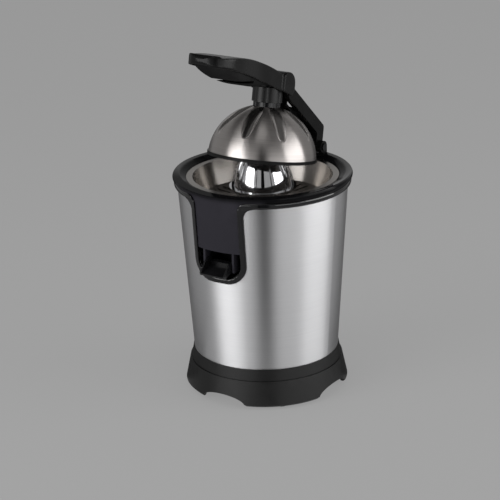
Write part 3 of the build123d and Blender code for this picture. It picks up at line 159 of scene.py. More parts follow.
class JuicerFittings(bpy.types.PropertyGroup):
    """Sizes of the small fittings and of where a finish changes, which the CAD frame leaves to Blender."""
    seam_width: length("Seam width", "Width of the body's welded seam", 0.0022)
    seam_height: length("Seam height", "How far the seam stands out of the body", 0.00025)
    seam_round: length("Seam round", "Width of the seam's rounded edges", 0.0002)
    dome_radius: length("Dome radius", "Radius of the dome's round", 0.05705)
    dome_drop: length("Dome drop", "From the foot of the dome's axis down to the round's centre", 0.0042)
    flute_edge: length("Flute edge", "Depth over which a pressed flute's finish sets in", 0.0009)
    crest_depth: length("Crest depth", "How far down a crest is rubbed bright", 0.002)
    panel_face: length("Panel face", "Y in front of which the panel is all slate", -0.0795)
    panel_back: length("Panel back", "Y behind which the collector is all black", -0.0745)
    panel_shoulder: length("Panel shoulder", "Height under which the panel is all slate", 0.2255)
    panel_top: length("Panel top", "Height over which the collector is all black", 0.2335)
    mould_grid: length("Mould grid", "Mesh size of the moulded handle and trim", 0.0008)
    mould_ease: share("Mould ease", "How far a pass draws a point to its neighbours", 0.5)
    handle_passes: count("Handle passes", "How often the handle's edges are eased", 10)
    trim_passes: count("Trim passes", "How often the trim's edges are eased", 4)


class JuicerStudio(bpy.types.PropertyGroup):
    """Camera, lamps and backdrop. Turns of the lamps are counted from the camera to the right."""
    azimuth: angle("Azimuth", "Turn of the camera from the front to the right", 33.7)
    elevation: angle("Elevation", "Height of the camera over the horizon", 18.1)
    roll: angle("Roll", "Turn of the camera about its own axis", -1.3)
    distance: length("Distance", "From the camera to the aim height on the axis", 1.8155)
    aim_height: length(
        "Aim height", "Height on the axis that the camera is measured from and the lamps face", 0.2)
    frame_right: length("Frame right", "How far right of the picture's middle the axis stands", 0.01399)
    frame_up: length("Frame up", "How far over the picture's middle the aim height stands", 0.04954)
    lens: bpy.props.FloatProperty(
        name="Lens", description="Focal length", subtype="DISTANCE_CAMERA", default=123.28)
    backdrop: colour("Backdrop", "Grey of the floor and the background", (0.342, 0.342, 0.342))
    fill: share("Fill", "Soft light from all round", 0.35)
    evenness: share("Evenness", "Share of the floor's grey that no shadow reaches", 0.8)
    floor_width: length("Floor width", "Side of the floor", 14.0)
    floor_gain: bpy.props.FloatProperty(
        name="Floor gain", description="Paint of the floor over the backdrop's grey", default=1.65)
    lamp_distance: length("Lamp distance", "From the juicer's axis to the side and flank softboxes", 1.5)
    lamp_height: length("Lamp height", "Height of the left and the right softbox", 0.52)
    flank_height: length("Flank height", "Height of the flank softboxes", 0.2)
    left_lamp: power("Left lamp", "Softbox at the front left", 15.5)
    left_turn: angle("Left turn", "Turn of the left softbox", -56.0)
    left_size: extent("Left size", "Width and height of the left softbox", (1.2, 1.0))
    left_lean: angle("Left lean", "Turn of the left softbox about its own axis", -56.0)
    left_flank: power("Left flank lamp", "Dimmer softbox between the left lamp and the camera", 1.5)
    left_flank_turn: angle("Left flank turn", "Turn of the left flank softbox", -27.0)
    left_flank_size: extent("Left flank size", "Width and height of the left flank softbox", (0.6, 0.36))
    right_lamp: power("Right lamp", "Softbox at the right", 13.2)
    right_turn: angle("Right turn", "Turn of the right softbox", 76.0)
    right_size: extent("Right size", "Width and height of the right softbox", (1.3, 1.0))
    right_flank: power("Right flank lamp", "Dimmer softbox between the camera and the right lamp", 3.0)
    right_flank_turn: angle("Right flank turn", "Turn of the right flank softbox", 33.0)
    right_flank_size: extent("Right flank size", "Width and height of the right flank softbox", (1.0, 0.36))
    top_lamp: power("Top lamp", "Softbox over the handle", 2.0)
    top_turn: angle("Top turn", "Turn of the top softbox", -20.0)
    top_distance: length("Top distance", "From the juicer's axis to the top softbox", 0.55)
    top_height: length("Top height", "Height of the top softbox", 1.75)
    top_size: extent("Top size", "Width and height of the top softbox", (1.0, 0.8))
    card_distance: length("Card distance", "From the juicer's axis to the dark cards", 2.4)
    card_start: length("Card start", "From the juicer's axis to the foot of the front card", 0.24)
    card_height: length("Card height", "Height of the dark card behind the camera", 2.4)
    card_tone: share("Card tone", "Grey of the dark card behind the camera", 0.005)
    slit: angle("Slit", "Half the width of the dark card behind the camera, as the juicer sees it", 7.2)
    rear: angle("Rear", "Half the width of the dark card behind the juicer, as the juicer sees it", 38.0)
    rear_height: length("Rear height", "Height of the dark card behind the juicer", 0.1)
    rear_tone: share("Rear tone", "Grey of the dark card behind the juicer", 0.13)
    card_taper: share("Card taper", "Width of a card's foot at its start, of its width at the card", 0.1)
    card_lift: length("Card lift", "How far a card's foot lies over the floor", 0.001)
    ceiling_height: length("Ceiling height", "Height of the dark ceiling", 1.9)
    ceiling_width: length("Ceiling width", "Side of the dark ceiling", 4.4)
    ceiling_tone: share("Ceiling tone", "Grey of the dark ceiling", 0.2)


# Node tools

def feed(tree, socket, value):
    """Links a socket to another one, or sets it to a number or a colour."""
    if isinstance(value, bpy.types.NodeSocket):
        tree.links.new(value, socket)
    elif isinstance(value, (int, float)):
        socket.default_value = value
    else:
        socket.default_value = (*value, 1.0)


def noise(tree, vector, scale, detail, rough=0.6):
    """A noise texture's value on a vector socket."""
    node = tree.nodes.new("ShaderNodeTexNoise")
    node.inputs["Scale"].default_value = scale
    node.inputs["Detail"].default_value = detail
    node.inputs["Roughness"].default_value = rough
    tree.links.new(vector, node.inputs["Vector"])
    return node.outputs["Fac"]


def spread(tree, value, low, high, new_low=0.0, new_high=1.0):
    """Maps a value's span smoothly onto another."""
    node = tree.nodes.new("ShaderNodeMapRange")
    node.interpolation_type = "SMOOTHSTEP"
    tree.links.new(value, node.inputs["Value"])
    node.inputs["From Min"].default_value = low
    node.inputs["From Max"].default_value = high
    node.inputs["To Min"].default_value = new_low
    node.inputs["To Max"].default_value = new_high
    return node.outputs["Result"]


def combine(tree, kind, first, second):
    """A math node on a socket and a second one or a number."""
    node = tree.nodes.new("ShaderNodeMath")
    node.operation = kind
    tree.links.new(first, node.inputs[0])
    feed(tree, node.inputs[1], second)
    return node.outputs["Value"]


def blend(tree, kind, factor, first, second):
    """A mix of two numbers or two colours, plain or from sockets."""
    node = tree.nodes.new("ShaderNodeMix")
    node.data_type = kind
    start, end, result = mix_sockets[kind]
    feed(tree, node.inputs["Factor"], factor)
    feed(tree, node.inputs[start], first)
    feed(tree, node.inputs[end], second)
    return node.outputs[result]


def scaled(tone, factor):
    """A colour times a factor."""
    return [factor * part for part in tone]


def finish_group(name, first, second, pattern):
    """A finish's node group, made once. Its pattern gives the tint, the wear and the height."""
    if name in bpy.data.node_groups:
        return bpy.data.node_groups[name]
    tree = bpy.data.node_groups.new(name, "ShaderNodeTree")
    inputs = {"Vector": "NodeSocketVector", first: "NodeSocketColor", second: "NodeSocketColor",
              "Smooth": "NodeSocketFloat", "Coarse": "NodeSocketFloat"}
    outputs = {"Colour": "NodeSocketColor", "Roughness": "NodeSocketFloat", "Height": "NodeSocketFloat"}
    for side, sockets in (("INPUT", inputs), ("OUTPUT", outputs)):
        for title, kind in sockets.items():
            tree.interface.new_socket(title, in_out=side, socket_type=kind)
    given = tree.nodes.new("NodeGroupInput").outputs
    out = tree.nodes.new("NodeGroupOutput").inputs
    tint, wear, height = pattern(tree, given["Vector"])
    tree.links.new(blend(tree, "RGBA", tint, given[first], given[second]), out["Colour"])
    tree.links.new(blend(tree, "FLOAT", wear, given["Smooth"], given["Coarse"]), out["Roughness"])
    tree.links.new(height, out["Height"])
    return tree


def brushed_lines(tree, vector):
    """Lines of brushed metal: the vector's Z runs across them."""
    broad_share = 0.15
    fine = noise(tree, vector, scale=1.0, detail=4.0, rough=0.75)
    broad = noise(tree, vector, scale=0.13, detail=2.0)
    streak = blend(tree, "FLOAT", broad_share, fine, broad)
    tint = spread(tree, streak, low=0.34, high=0.66)
    wear = spread(tree, fine, low=0.3, high=0.7)
    return tint, wear, fine


def moulded_grain(tree, vector):
    """Fine grain and faint smudges of moulded plastic and rubber."""
    grain = noise(tree, vector, scale=1500.0, detail=3.0)
    smudge = noise(tree, vector, scale=28.0, detail=4.0, rough=0.65)
    tint = spread(tree, smudge, low=0.42, high=0.72)
    wear = spread(tree, smudge, low=0.35, high=0.68)
    return tint, wear, grain


def metal_tone(tree, vector):
    """Uneven tone of cast, sintered, plated or turned metal."""
    cloud = noise(tree, vector, scale=45.0, detail=5.0)
    speck = noise(tree, vector, scale=900.0, detail=2.0)
    uneven = spread(tree, cloud, low=0.35, high=0.68)
    return uneven, uneven, speck


# Material tools

def blank_material(name):
    """A node material with its Principled shader and the object's own coordinates."""
    material = bpy.data.materials.new(name)
    material.use_nodes = True
    tree = material.node_tree
    place = tree.nodes.new("ShaderNodeTexCoord").outputs["Object"]
    return material, tree, tree.nodes["Principled BSDF"], place


def grouped(tree, group, vector, values):
    """A placed node group with its inputs set."""
    node = tree.nodes.new("ShaderNodeGroup")
    node.node_tree = group
    tree.links.new(vector, node.inputs["Vector"])
    for title, value in values.items():
        feed(tree, node.inputs[title], value)
    return node


def moulded(tree, place, tone, smooth, coarse, bloom):
    """The moulded grain's group, with smudges that are bloom times as light as its tone."""
    return grouped(tree, finish_group("Moulded grain", "Colour", "Bloom", moulded_grain), place, {
        "Colour": tone, "Bloom": scaled(tone, bloom), "Smooth": smooth, "Coarse": coarse})


def raise_height(tree, shader, height, strength, depth):
    """A bump from a height socket."""
    bump = tree.nodes.new("ShaderNodeBump")
    bump.inputs["Strength"].default_value = strength
    bump.inputs["Distance"].default_value = depth
    tree.links.new(height, bump.inputs["Height"])
    tree.links.new(bump.outputs["Normal"], shader.inputs["Normal"])


def take_group(tree, shader, node, strength, depth):
    """Links a group's colour, roughness and height to the shader."""
    tree.links.new(node.outputs["Colour"], shader.inputs["Base Color"])
    tree.links.new(node.outputs["Roughness"], shader.inputs["Roughness"])
    raise_height(tree, shader, node.outputs["Height"], strength, depth)


def brushed(name, light, dark, brushing, smooth, coarse, along, relief, foot=(0, 0, 0), tilt=0.0):
    """Brushed steel with lines round an axis that stands at foot and leans back by tilt."""
    material, tree, shader, place = blank_material(name)
    turn = tree.nodes.new("ShaderNodeMapping")
    turn.vector_type = "TEXTURE"
    turn.inputs["Location"].default_value = foot
    turn.inputs["Rotation"].default_value = (-tilt, 0, 0)
    turn.inputs["Scale"].default_value = (along, along, line_width)
    tree.links.new(place, turn.inputs["Vector"])
    group = finish_group("Brushed lines", "Dark", "Light", brushed_lines)
    node = grouped(tree, group, turn.outputs["Vector"], {
        "Light": light, "Dark": dark, "Smooth": smooth, "Coarse": coarse})
    take_group(tree, shader, node, relief, line_depth)
    quarter_turn = 0.25
    shader.inputs["Metallic"].default_value = 1.0
    shader.inputs["Anisotropic"].default_value = brushing
    shader.inputs["Anisotropic Rotation"].default_value = quarter_turn
    round_axis = tree.nodes.new("ShaderNodeTangent")
    round_axis.direction_type = "RADIAL"
    round_axis.axis = "Z"
    tree.links.new(round_axis.outputs["Tangent"], shader.inputs["Tangent"])
    return material


def press_flutes(material, centre, radius, edge, tone, painted_rim, smooth):
    """Changes a steel's finish where the sheet is pressed in from its round, and paints a highlight round
    each flute's edge.
    """
    shallow_share, highlight_gain = 0.2, 2.6
    tree = material.node_tree
    shader = tree.nodes["Principled BSDF"]
    away = tree.nodes.new("ShaderNodeVectorMath")
    away.operation = "DISTANCE"
    away.inputs[1].default_value = centre
    tree.links.new(tree.nodes["Texture Coordinate"].outputs["Object"], away.inputs[0])
    deep, shallow = radius - edge, radius - shallow_share * edge
    pressed = spread(tree, away.outputs["Value"], deep, shallow, 1.0, 0.0)
    even = spread(tree, away.outputs["Value"], deep, shallow)
    # Painted highlight: a bright band where a flute's pressed finish sets in, lightened toward the rim
    # colour.
    highlight_band = combine(tree, "MULTIPLY", combine(tree, "MULTIPLY", pressed, even), highlight_gain)
    lined, coarse = (shader.inputs[title].links[0].from_socket for title in ("Base Color", "Roughness"))
    flat = blend(tree, "RGBA", pressed, lined, tone)
    tree.links.new(blend(tree, "RGBA", highlight_band, flat, painted_rim), shader.inputs["Base Color"])
    tree.links.new(blend(tree, "FLOAT", pressed, coarse, smooth), shader.inputs["Roughness"])


def metal(name, tone, smooth, coarse, dark=0.8, strength=0.05):
    """Plain metal: turned, plated, cast or sintered."""
    material, tree, shader, place = blank_material(name)
    node = grouped(tree, finish_group("Metal tone", "Dark", "Light", metal_tone), place, {
        "Light": tone, "Dark": scaled(tone, dark), "Smooth": smooth, "Coarse": coarse})
    take_group(tree, shader, node, strength, grain_depth)
    shader.inputs["Metallic"].default_value = 1.0
    return material


def plastic(name, tone, smooth, coarse, strength=0.08, bloom=1.5, gloss=0.5):
    """Moulded plastic or rubber, with its grain and smudges."""
    material, tree, shader, place = blank_material(name)
    take_group(tree, shader, moulded(tree, place, tone, smooth, coarse, bloom), strength, grain_depth)
    shader.inputs["Specular IOR Level"].default_value = gloss
    return material


def polish_crest(material, low, high, weight):
    """Rubs a plastic bright between two heights, by its clear coat."""
    tree = material.node_tree
    split = tree.nodes.new("ShaderNodeSeparateXYZ")
    tree.links.new(tree.nodes["Texture Coordinate"].outputs["Object"], split.inputs["Vector"])
    coat = tree.nodes["Principled BSDF"].inputs["Coat Weight"]
    tree.links.new(spread(tree, split.outputs["Z"], low, high, 0.0, weight), coat)


def collector_plastic(name, black, slate, size, strength, gloss):
    """Smooth black on the bowl and its lip, satin slate on the front panel."""
    material, tree, shader, place = blank_material(name)
    split = tree.nodes.new("ShaderNodeSeparateXYZ")
    tree.links.new(place, split.inputs["Vector"])
    front = spread(tree, split.outputs["Y"], size.panel_face, size.panel_back, 1.0, 0.0)
    below = spread(tree, split.outputs["Z"], size.panel_shoulder, size.panel_top, 1.0, 0.0)
    panel = combine(tree, "MULTIPLY", front, below)
    bowl = moulded(tree, place, black, smooth=0.1, coarse=0.17, bloom=1.5).outputs
    satin = moulded(tree, place, slate, smooth=0.42, coarse=0.5, bloom=1.15).outputs
    tree.links.new(blend(tree, "RGBA", panel, bowl["Colour"], satin["Colour"]), shader.inputs["Base Color"])
    tree.links.new(
        blend(tree, "FLOAT", panel, bowl["Roughness"], satin["Roughness"]), shader.inputs["Roughness"])
    raise_height(tree, shader, satin["Height"], strength, grain_depth)
    shader.inputs["Specular IOR Level"].default_value = gloss
    return material


def finish(material, *names):
    """Gives CAD nodes a material."""
    for name in names:
        node = nodes[name]
        if not node.material_slots:
            node.data.materials.append(material)
        for slot in node.material_slots:
            slot.material = material


# Mesh tools

def deselect_all():
    """Clears the selection before a new piece."""
    bpy.ops.object.select_all(action="DESELECT")


def settle(name, body, material):
    """Finishes the active piece: name, place in its mesh, body, slot and material."""
    piece = bpy.context.object
    piece.name = name
    piece.data.name = name
    bpy.ops.object.transform_apply(location=True, rotation=True, scale=True)
    bpy.ops.object.shade_smooth_by_angle(angle=smooth_angle)
    piece.data.materials.clear()
    piece.data.materials.append(material)
    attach(piece, body)


def copy_node(node, name):
    """A merged copy of a CAD node's mesh, as the active piece."""
    deselect_all()
    piece = bpy.data.objects.new(name, node.data.copy())
    bpy.context.scene.collection.objects.link(piece)
    piece.select_set(True)
    bpy.context.view_layer.objects.active = piece
    bpy.ops.object.mode_set(mode="EDIT")
    bpy.ops.mesh.select_all(action="SELECT")
    bpy.ops.mesh.remove_doubles(threshold=merge_distance)
    bpy.ops.object.mode_set(mode="OBJECT")
    return piece


def pick_edges(test):
    """Selects the active mesh's edges whose middle passes a test, in edit mode."""
    bpy.ops.mesh.select_mode(type="EDGE")
    bpy.ops.mesh.select_all(action="DESELECT")
    mesh = bmesh.from_edit_mesh(bpy.context.object.data)
    for edge in mesh.edges:
        edge.select_set(test((edge.verts[0].co + edge.verts[1].co) / 2))
    mesh.select_flush_mode()
    bmesh.update_edit_mesh(bpy.context.object.data)


# Operators

class JUICER_OT_finish_steel(bpy.types.Operator):
    """Brush the steel of the body, the dome and the strainer, and plate the reamer"""
    bl_idname = "juicer.finish_steel"
    bl_label = "Steel and chrome"

    def execute(self, context):
        look = context.scene.juicer_finishes
        size = context.scene.juicer_fittings
        body = brushed("Body steel", look.body_steel, look.body_steel_dark, look.brushing,
                       smooth=0.40, coarse=0.44, along=0.16, relief=0.03)
        finish(body, "body_shell")
        dome = brushed("Dome steel", look.dome_steel, look.dome_steel_dark, look.brushing,
                       smooth=0.29, coarse=0.34, along=0.09, relief=0.03,
                       foot=dome_axis_foot, tilt=lever_lift)
        centre = dome_axis_foot - dome_axis * size.dome_drop
        # The flutes get smoother steel and a painted highlight round their edges.
        press_flutes(dome, centre, size.dome_radius, size.flute_edge,
                     look.flute_steel, look.flute_rim_highlight, smooth=0.2)
        finish(dome, "press_dome")
        strainer = brushed("Strainer steel", look.strainer_steel, look.strainer_steel_dark, look.brushing,
                           smooth=0.25, coarse=0.27, along=0.09, relief=0.0008)
        finish(strainer, "strainer")
        chrome = metal("Reamer chrome", look.chrome, smooth=0.06, coarse=0.12, dark=0.92, strength=0.02)
        finish(chrome, "reamer_cone")
        return {"FINISHED"}


class JUICER_OT_finish_plastic(bpy.types.Operator):
    """Mould the black plastic of the trim, the base, the lever and the collector"""
    bl_idname = "juicer.finish_plastic"
    bl_label = "Black plastic"

    def execute(self, context):
        look = context.scene.juicer_finishes
        size = context.scene.juicer_fittings
        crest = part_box("rim_trim")[1].z
        trim = plastic("Trim black", look.trim_black, smooth=0.08, coarse=0.14, strength=0.04)
        polish_crest(trim, crest - size.crest_depth, crest, look.crest_coat)
        finish(trim, "rim_trim", "spout_pocket")
        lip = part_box("juice_collector")[1].z
        collector = collector_plastic("Collector black and slate", look.trim_black, look.panel_slate, size,
                                      strength=0.06, gloss=0.05)
        polish_crest(collector, lip - size.crest_depth, lip, look.crest_coat)
        finish(collector, "juice_collector")
        finish(plastic("Neck black", look.trim_black, smooth=0.07, coarse=0.13, strength=0.02, gloss=0.25),
               "dome_neck")
        finish(plastic("Spout black", look.trim_black, smooth=0.2, coarse=0.3), "spout")
        finish(plastic("Base black", look.base_black, smooth=0.36, coarse=0.48, gloss=0.28),
               "base_skirt", "base_plate", "cone_base")
        finish(plastic("Handle black", look.lever_black, smooth=0.2, coarse=0.28, gloss=0.15), "handle_shell")
        finish(plastic("Cover black", look.cover_black, smooth=0.2, coarse=0.3, strength=0.04, gloss=0.0),
               "handle_cover")
        finish(plastic("Arm black", look.lever_black, smooth=0.24, coarse=0.32, gloss=0.07),
               "lever_arm", "dome_carrier", "hinge_bracket")
        finish(plastic("Collar black", look.lever_black, smooth=0.3, coarse=0.4, gloss=0.25), "dome_collar")
        finish(plastic("Dome edge black", look.lever_black, smooth=0.34, coarse=0.46, gloss=0.1), "dome_edge")
        finish(plastic("Rubber", look.rubber_black, smooth=0.7, coarse=0.85, strength=0.2),
               "rubber_feet", "cord_gland", "shaft_seal")
        return {"FINISHED"}


class JUICER_OT_finish_inside(bpy.types.Operator):
    """Finish the drive: moulded supports, nylon gears, shafts, bushes, screws and the motor"""
    bl_idname = "juicer.finish_inside"
    bl_label = "Drive"

    def execute(self, context):
        look = context.scene.juicer_finishes
        finish(plastic("Inner grey", look.inner_grey, smooth=0.45, coarse=0.6, strength=0.12, bloom=1.2),
               "chassis", "motor_cover", "motor_end", "start_switch")
        finish(plastic("Nylon", look.nylon, smooth=0.38, coarse=0.5, strength=0.06, bloom=1.08),
               "thrust_cup", "switch_plunger", "output_gear", "idler_gear")
        finish(metal("Turned steel", look.turned_steel, smooth=0.2, coarse=0.32),
               "return_spring", "drive_shaft", "idler_axle", "motor_pinion", "motor_shaft", "spout_pin")
        finish(metal("Blackened steel", look.blackened, smooth=0.32, coarse=0.45), "hinge_pin")
        finish(metal("Zinc plate", look.zinc, smooth=0.28, coarse=0.42, dark=0.85),
               "base_screws", "motor_can", "stud_screw")
        finish(metal("Sintered bronze", look.bronze, smooth=0.4, coarse=0.55, dark=0.75, strength=0.15),
               "lower_bush", "upper_bush", "motor_bush")
        finish(metal("Laminated iron", look.iron, smooth=0.45, coarse=0.6, dark=0.7, strength=0.15),
               "motor_field", "motor_armature")
        finish(metal("Copper", look.copper, smooth=0.2, coarse=0.34), "motor_commutator")
        return {"FINISHED"}


class JUICER_OT_add_seam(bpy.types.Operator):
    """Weld the body's seam down its back"""
    bl_idname = "juicer.add_seam"
    bl_label = "Body seam"

    def execute(self, context):
        size = context.scene.juicer_fittings
        low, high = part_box("body_shell")
        shell = [corner.co for corner in nodes["body_shell"].data.vertices]
        foot = max(point.y for point in shell if point.z < low.z + size.seam_width)
        head = max(point.y for point in shell if point.z > high.z - size.seam_width)
        lean = atan2(head - foot, high.z - low.z)
        bottom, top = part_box("base_skirt")[1].z - size.seam_width, high.z
        middle = (bottom + top) / 2
        deselect_all()
        bpy.ops.mesh.primitive_cube_add(size=1.0)
        strip = bpy.context.object
        strip.scale = (size.seam_width, 2 * size.seam_height, top - bottom)
        strip.rotation_euler = (-lean, 0, 0)
        strip.location = (0, foot + (head - foot) * (middle - low.z) / (high.z - low.z), middle)
        bpy.ops.object.transform_apply(location=True, rotation=True, scale=True)
        round_off = strip.modifiers.new("Round", "BEVEL")
        round_off.width = size.seam_round
        round_off.segments = 3
        bpy.ops.object.modifier_apply(modifier=round_off.name)
        settle("body_seam", "body", nodes["body_shell"].material_slots[0].material)
        return {"FINISHED"}


class JUICER_OT_mould_edges(bpy.types.Operator):
    """Round the moulded edges of the handle's shell and the trim"""
    bl_idname = "juicer.mould_edges"
    bl_label = "Moulded edges"

    def execute(self, context):
        size = context.scene.juicer_fittings
        self.mould("handle_shell", "handle_moulding", "lever", "lever_black", size, size.handle_passes)
        self.mould("rim_trim", "trim_moulding", "body", "trim_black", size, size.trim_passes)
        return {"FINISHED"}

    def mould(self, node, name, body, slot, size, passes):
        """Stands a copy of a node in its place, on an even grid and eased in some passes."""
        piece = copy_node(nodes[node], name)
        even = piece.modifiers.new("Even", "REMESH")
        even.mode = "VOXEL"
        even.voxel_size = size.mould_grid
        ease = piece.modifiers.new("Ease", "SMOOTH")
        ease.factor = size.mould_ease
        ease.iterations = passes
        for modifier in (even, ease):
            bpy.ops.object.modifier_apply(modifier=modifier.name)
        settle(name, body, nodes[node].material_slots[0].material)
        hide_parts(node)


class JUICER_OT_coil_spring(bpy.types.Operator):
    """Stand a merged copy of the return spring in its place, on a mesh of its own"""
    bl_idname = "juicer.coil_spring"
    bl_label = "Return spring"

    def execute(self, context):
        spring = nodes["return_spring"]
        piece = copy_node(spring, "return_coil")
        settle(piece.name, "body", spring.material_slots[0].material)
        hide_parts("return_spring")
        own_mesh(piece)
        return {"FINISHED"}


class JUICER_OT_build_stage(bpy.types.Operator):
    """Set the floor, the camera, the lamps, the dark cards and the ceiling"""
    bl_idname = "juicer.build_stage"
    bl_label = "Studio"

    def execute(self, context):
        scene = context.scene
        studio = scene.juicer_studio
        scene.view_settings.view_transform = "Standard"
        self.floor(studio)
        self.background(scene, studio)
        self.camera(scene, studio)
        self.lamps(studio)
        self.card("dark_card", studio, studio.azimuth, studio.slit, studio.card_start, studio.card_height,
                  studio.card_tone)
        self.card("rear_card", studio, studio.azimuth + radians(180), studio.rear, 0.0, studio.rear_height,
                  studio.rear_tone)
        self.ceiling("dark_ceiling", studio)
        return {"FINISHED"}

    def floor(self, studio):
        """A plain floor that keeps the juicer's shadow."""
        deselect_all()
        bpy.ops.mesh.primitive_plane_add(size=studio.floor_width)
        floor = bpy.context.object
        floor.name = "studio_floor"
        mottle = 0.01
        material, tree, shader, place = blank_material("Studio floor")
        tint = noise(tree, place, scale=3.0, detail=2.0)
        dark, light = (scaled(studio.backdrop, studio.floor_gain + change) for change in (-mottle, mottle))
        tree.links.new(blend(tree, "RGBA", tint, dark, light), shader.inputs["Base Color"])
        shader.inputs["Roughness"].default_value = 0.9
        shader.inputs["Specular IOR Level"].default_value = 0.1
        even = tree.nodes.new("ShaderNodeEmission")
        even.inputs["Color"].default_value = (*studio.backdrop, 1.0)
        mix = tree.nodes.new("ShaderNodeMixShader")
        tree.links.new(combine(tree, "MULTIPLY", self.seen_rays(tree), studio.evenness), mix.inputs["Fac"])
        tree.links.new(shader.outputs["BSDF"], mix.inputs[1])
        tree.links.new(even.outputs["Emission"], mix.inputs[2])
        tree.links.new(mix.outputs["Shader"], tree.nodes["Material Output"].inputs["Surface"])
        material.cycles.emission_sampling = "NONE"
        floor.data.materials.append(material)

    def seen_rays(self, tree):
        """1 on rays that the camera sends or that metal and glass pass on, 0 on the light itself."""
        path = tree.nodes.new("ShaderNodeLightPath").outputs
        mirrored = combine(tree, "MAXIMUM", path["Is Glossy Ray"], path["Is Transmission Ray"])
        return combine(tree, "MAXIMUM", mirrored, path["Is Camera Ray"])

    def background(self, scene, studio):
        """Backdrop grey for what is seen and mirrored, and a soft fill for the rest."""
        world = bpy.data.worlds.new("Studio")
        scene.world = world
        world.use_nodes = True
        tree = world.node_tree
        fill = tree.nodes["Background"]
        fill.inputs["Color"].default_value = (1.0, 1.0, 1.0, 1.0)
        fill.inputs["Strength"].default_value = studio.fill
        seen = tree.nodes.new("ShaderNodeBackground")
        seen.inputs["Color"].default_value = (*studio.backdrop, 1.0)
        mix = tree.nodes.new("ShaderNodeMixShader")
        tree.links.new(self.seen_rays(tree), mix.inputs["Fac"])
        tree.links.new(fill.outputs["Background"], mix.inputs[1])
        tree.links.new(seen.outputs["Background"], mix.inputs[2])
        tree.links.new(mix.outputs["Shader"], tree.nodes["World Output"].inputs["Surface"])

    def camera(self, scene, studio):
        """The photograph's view."""
        turn, rise = studio.azimuth, studio.elevation
        right = Vector((cos(turn), sin(turn), 0))
        ahead = Vector((-sin(turn) * cos(rise), cos(turn) * cos(rise), -sin(rise)))
        over = right.cross(ahead)
        right, over = (cos(studio.roll) * right + sin(studio.roll) * over,
                       cos(studio.roll) * over - sin(studio.roll) * right)
        eye = Vector((0, 0, studio.aim_height)) - ahead * studio.distance
        ahead = (ahead * studio.distance - right * studio.frame_right - over * studio.frame_up).normalized()
        right = (right - right.dot(ahead) * ahead).normalized()
        over = right.cross(ahead)
        turned = Matrix((right, over, -ahead)).transposed()
        bpy.ops.object.camera_add(location=eye, rotation=turned.to_euler())
        camera = bpy.context.object
        camera.name = "studio_camera"
        camera.data.lens = studio.lens
        scene.camera = camera

    def lamps(self, studio):
        """Softboxes at the left, the right and the top, and dimmer ones that flank the camera."""
        aside, high, low = studio.lamp_distance, studio.lamp_height, studio.flank_height
        self.lamp("left_softbox", studio, studio.left_lamp, studio.left_size,
                  studio.left_turn, aside, high, studio.left_lean)
        self.lamp("left_flank_softbox", studio, studio.left_flank, studio.left_flank_size,
                  studio.left_flank_turn, aside, low)
        self.lamp("right_softbox", studio, studio.right_lamp, studio.right_size,
                  studio.right_turn, aside, high)
        self.lamp("right_flank_softbox", studio, studio.right_flank, studio.right_flank_size,
                  studio.right_flank_turn, aside, low)
        self.lamp("top_softbox", studio, studio.top_lamp, studio.top_size,
                  studio.top_turn, studio.top_distance, studio.top_height)

    def lamp(self, name, studio, watts, size, turn, distance, height, lean=0.0):
        """A softbox that faces the juicer, turned about its own axis by lean."""
        around = studio.azimuth + turn
        spot = Vector((sin(around) * distance, -cos(around) * distance, height))
        faces = (Vector((0, 0, studio.aim_height)) - spot).to_track_quat("-Z", "Y")
        leaned = faces @ Quaternion((0, 0, 1), lean)
        bpy.ops.object.light_add(type="AREA", location=spot, rotation=leaned.to_euler())
        lamp = bpy.context.object
        lamp.name = name
        lamp.data.shape = "RECTANGLE"
        lamp.data.size, lamp.data.size_y = size
        lamp.data.energy = watts
        lamp.visible_camera = False

    def card(self, name, studio, turn, half_angle, start, height, tone):
        """A dark card and its foot on the floor, which begins at start; only mirrors show them."""
        distance = studio.card_distance
        middle_y, quarter = -(start + distance) / 2, (distance - start) / 4
        deselect_all()
        bpy.ops.mesh.primitive_plane_add(size=1.0)
        card = bpy.context.object
        card.name = name
        card.scale = (2 * distance * tan(half_angle), distance - start, 1)
        card.location = (0, middle_y, studio.card_lift)
        bpy.ops.object.transform_apply(location=True, rotation=True, scale=True)
        bpy.ops.object.mode_set(mode="EDIT")
        pick_edges(lambda middle: middle.y > middle_y + quarter)
        bpy.ops.transform.resize(value=(studio.card_taper, 1, 1))
        pick_edges(lambda middle: middle.y < middle_y - quarter)
        bpy.ops.mesh.extrude_region_move(TRANSFORM_OT_translate={"value": (0, 0, height)})
        bpy.ops.object.mode_set(mode="OBJECT")
        card.rotation_euler = (0, 0, turn)
        bpy.ops.object.transform_apply(location=True, rotation=True, scale=True)
        self.darken(card, tone)

    def ceiling(self, name, studio):
        """An unlit ceiling that shows only in what mirrors it."""
        deselect_all()
        bpy.ops.mesh.primitive_plane_add(size=studio.ceiling_width, location=(0, 0, studio.ceiling_height))
        bpy.context.object.name = name
        self.darken(bpy.context.object, studio.ceiling_tone)

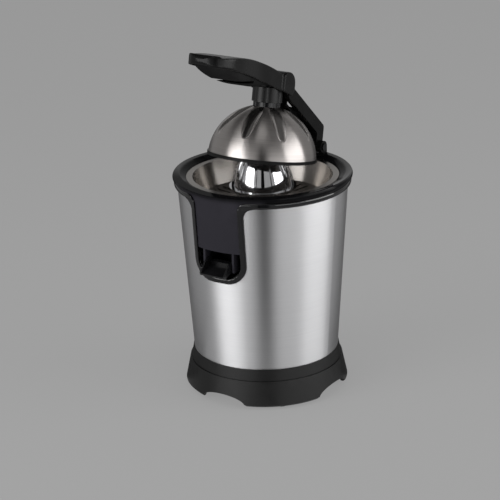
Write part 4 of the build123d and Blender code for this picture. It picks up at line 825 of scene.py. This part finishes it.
    def darken(self, card, tone):
        """Gives a card its dull tone and hides it from all but mirrors."""
        mottle = 0.1
        material, tree, shader, place = blank_material(card.name.replace("_", " ").capitalize())
        tint = noise(tree, place, scale=5.0, detail=2.0)
        dark, light = (scaled((tone, tone, tone), 1 + change) for change in (-mottle, mottle))
        tree.links.new(blend(tree, "RGBA", tint, dark, light), shader.inputs["Base Color"])
        shader.inputs["Roughness"].default_value = 1.0
        shader.inputs["Specular IOR Level"].default_value = 0.0
        card.data.materials.append(material)
        card.visible_camera = False
        card.visible_diffuse = False
        card.visible_shadow = False


steps = (
    JUICER_OT_finish_steel, JUICER_OT_finish_plastic, JUICER_OT_finish_inside, JUICER_OT_add_seam,
    JUICER_OT_mould_edges, JUICER_OT_coil_spring, JUICER_OT_build_stage)
groups = {
    "juicer_finishes": JuicerFinishes, "juicer_fittings": JuicerFittings, "juicer_studio": JuicerStudio}


class JUICER_PT_panel(bpy.types.Panel):
    """Lists the juicer's settings and steps"""
    bl_idname = "JUICER_PT_panel"
    bl_label = "Citrus juicer"
    bl_space_type = "VIEW_3D"
    bl_region_type = "UI"
    bl_category = "Juicer"

    def draw(self, context):
        for title, group in groups.items():
            box = self.layout.box()
            settings = getattr(context.scene, title)
            for name in group.__annotations__:
                box.prop(settings, name)
        for step in steps:
            self.layout.operator(step.bl_idname)


classes = (*groups.values(), *steps, JUICER_PT_panel)


def register():
    """Registers the classes and hangs the settings on the scene."""
    for item in classes:
        bpy.utils.register_class(item)
    for title, group in groups.items():
        setattr(bpy.types.Scene, title, bpy.props.PointerProperty(type=group))


def unregister():
    """Takes the settings and the classes away."""
    for title in groups:
        delattr(bpy.types.Scene, title)
    for item in reversed(classes):
        bpy.utils.unregister_class(item)


def main():
    """Builds the juicer's looks in order."""
    register()
    bpy.ops.juicer.finish_steel()
    bpy.ops.juicer.finish_plastic()
    bpy.ops.juicer.finish_inside()
    bpy.ops.juicer.add_seam()
    bpy.ops.juicer.mould_edges()
    bpy.ops.juicer.coil_spring()
    bpy.ops.juicer.build_stage()


if __name__ == "__main__":
    main()
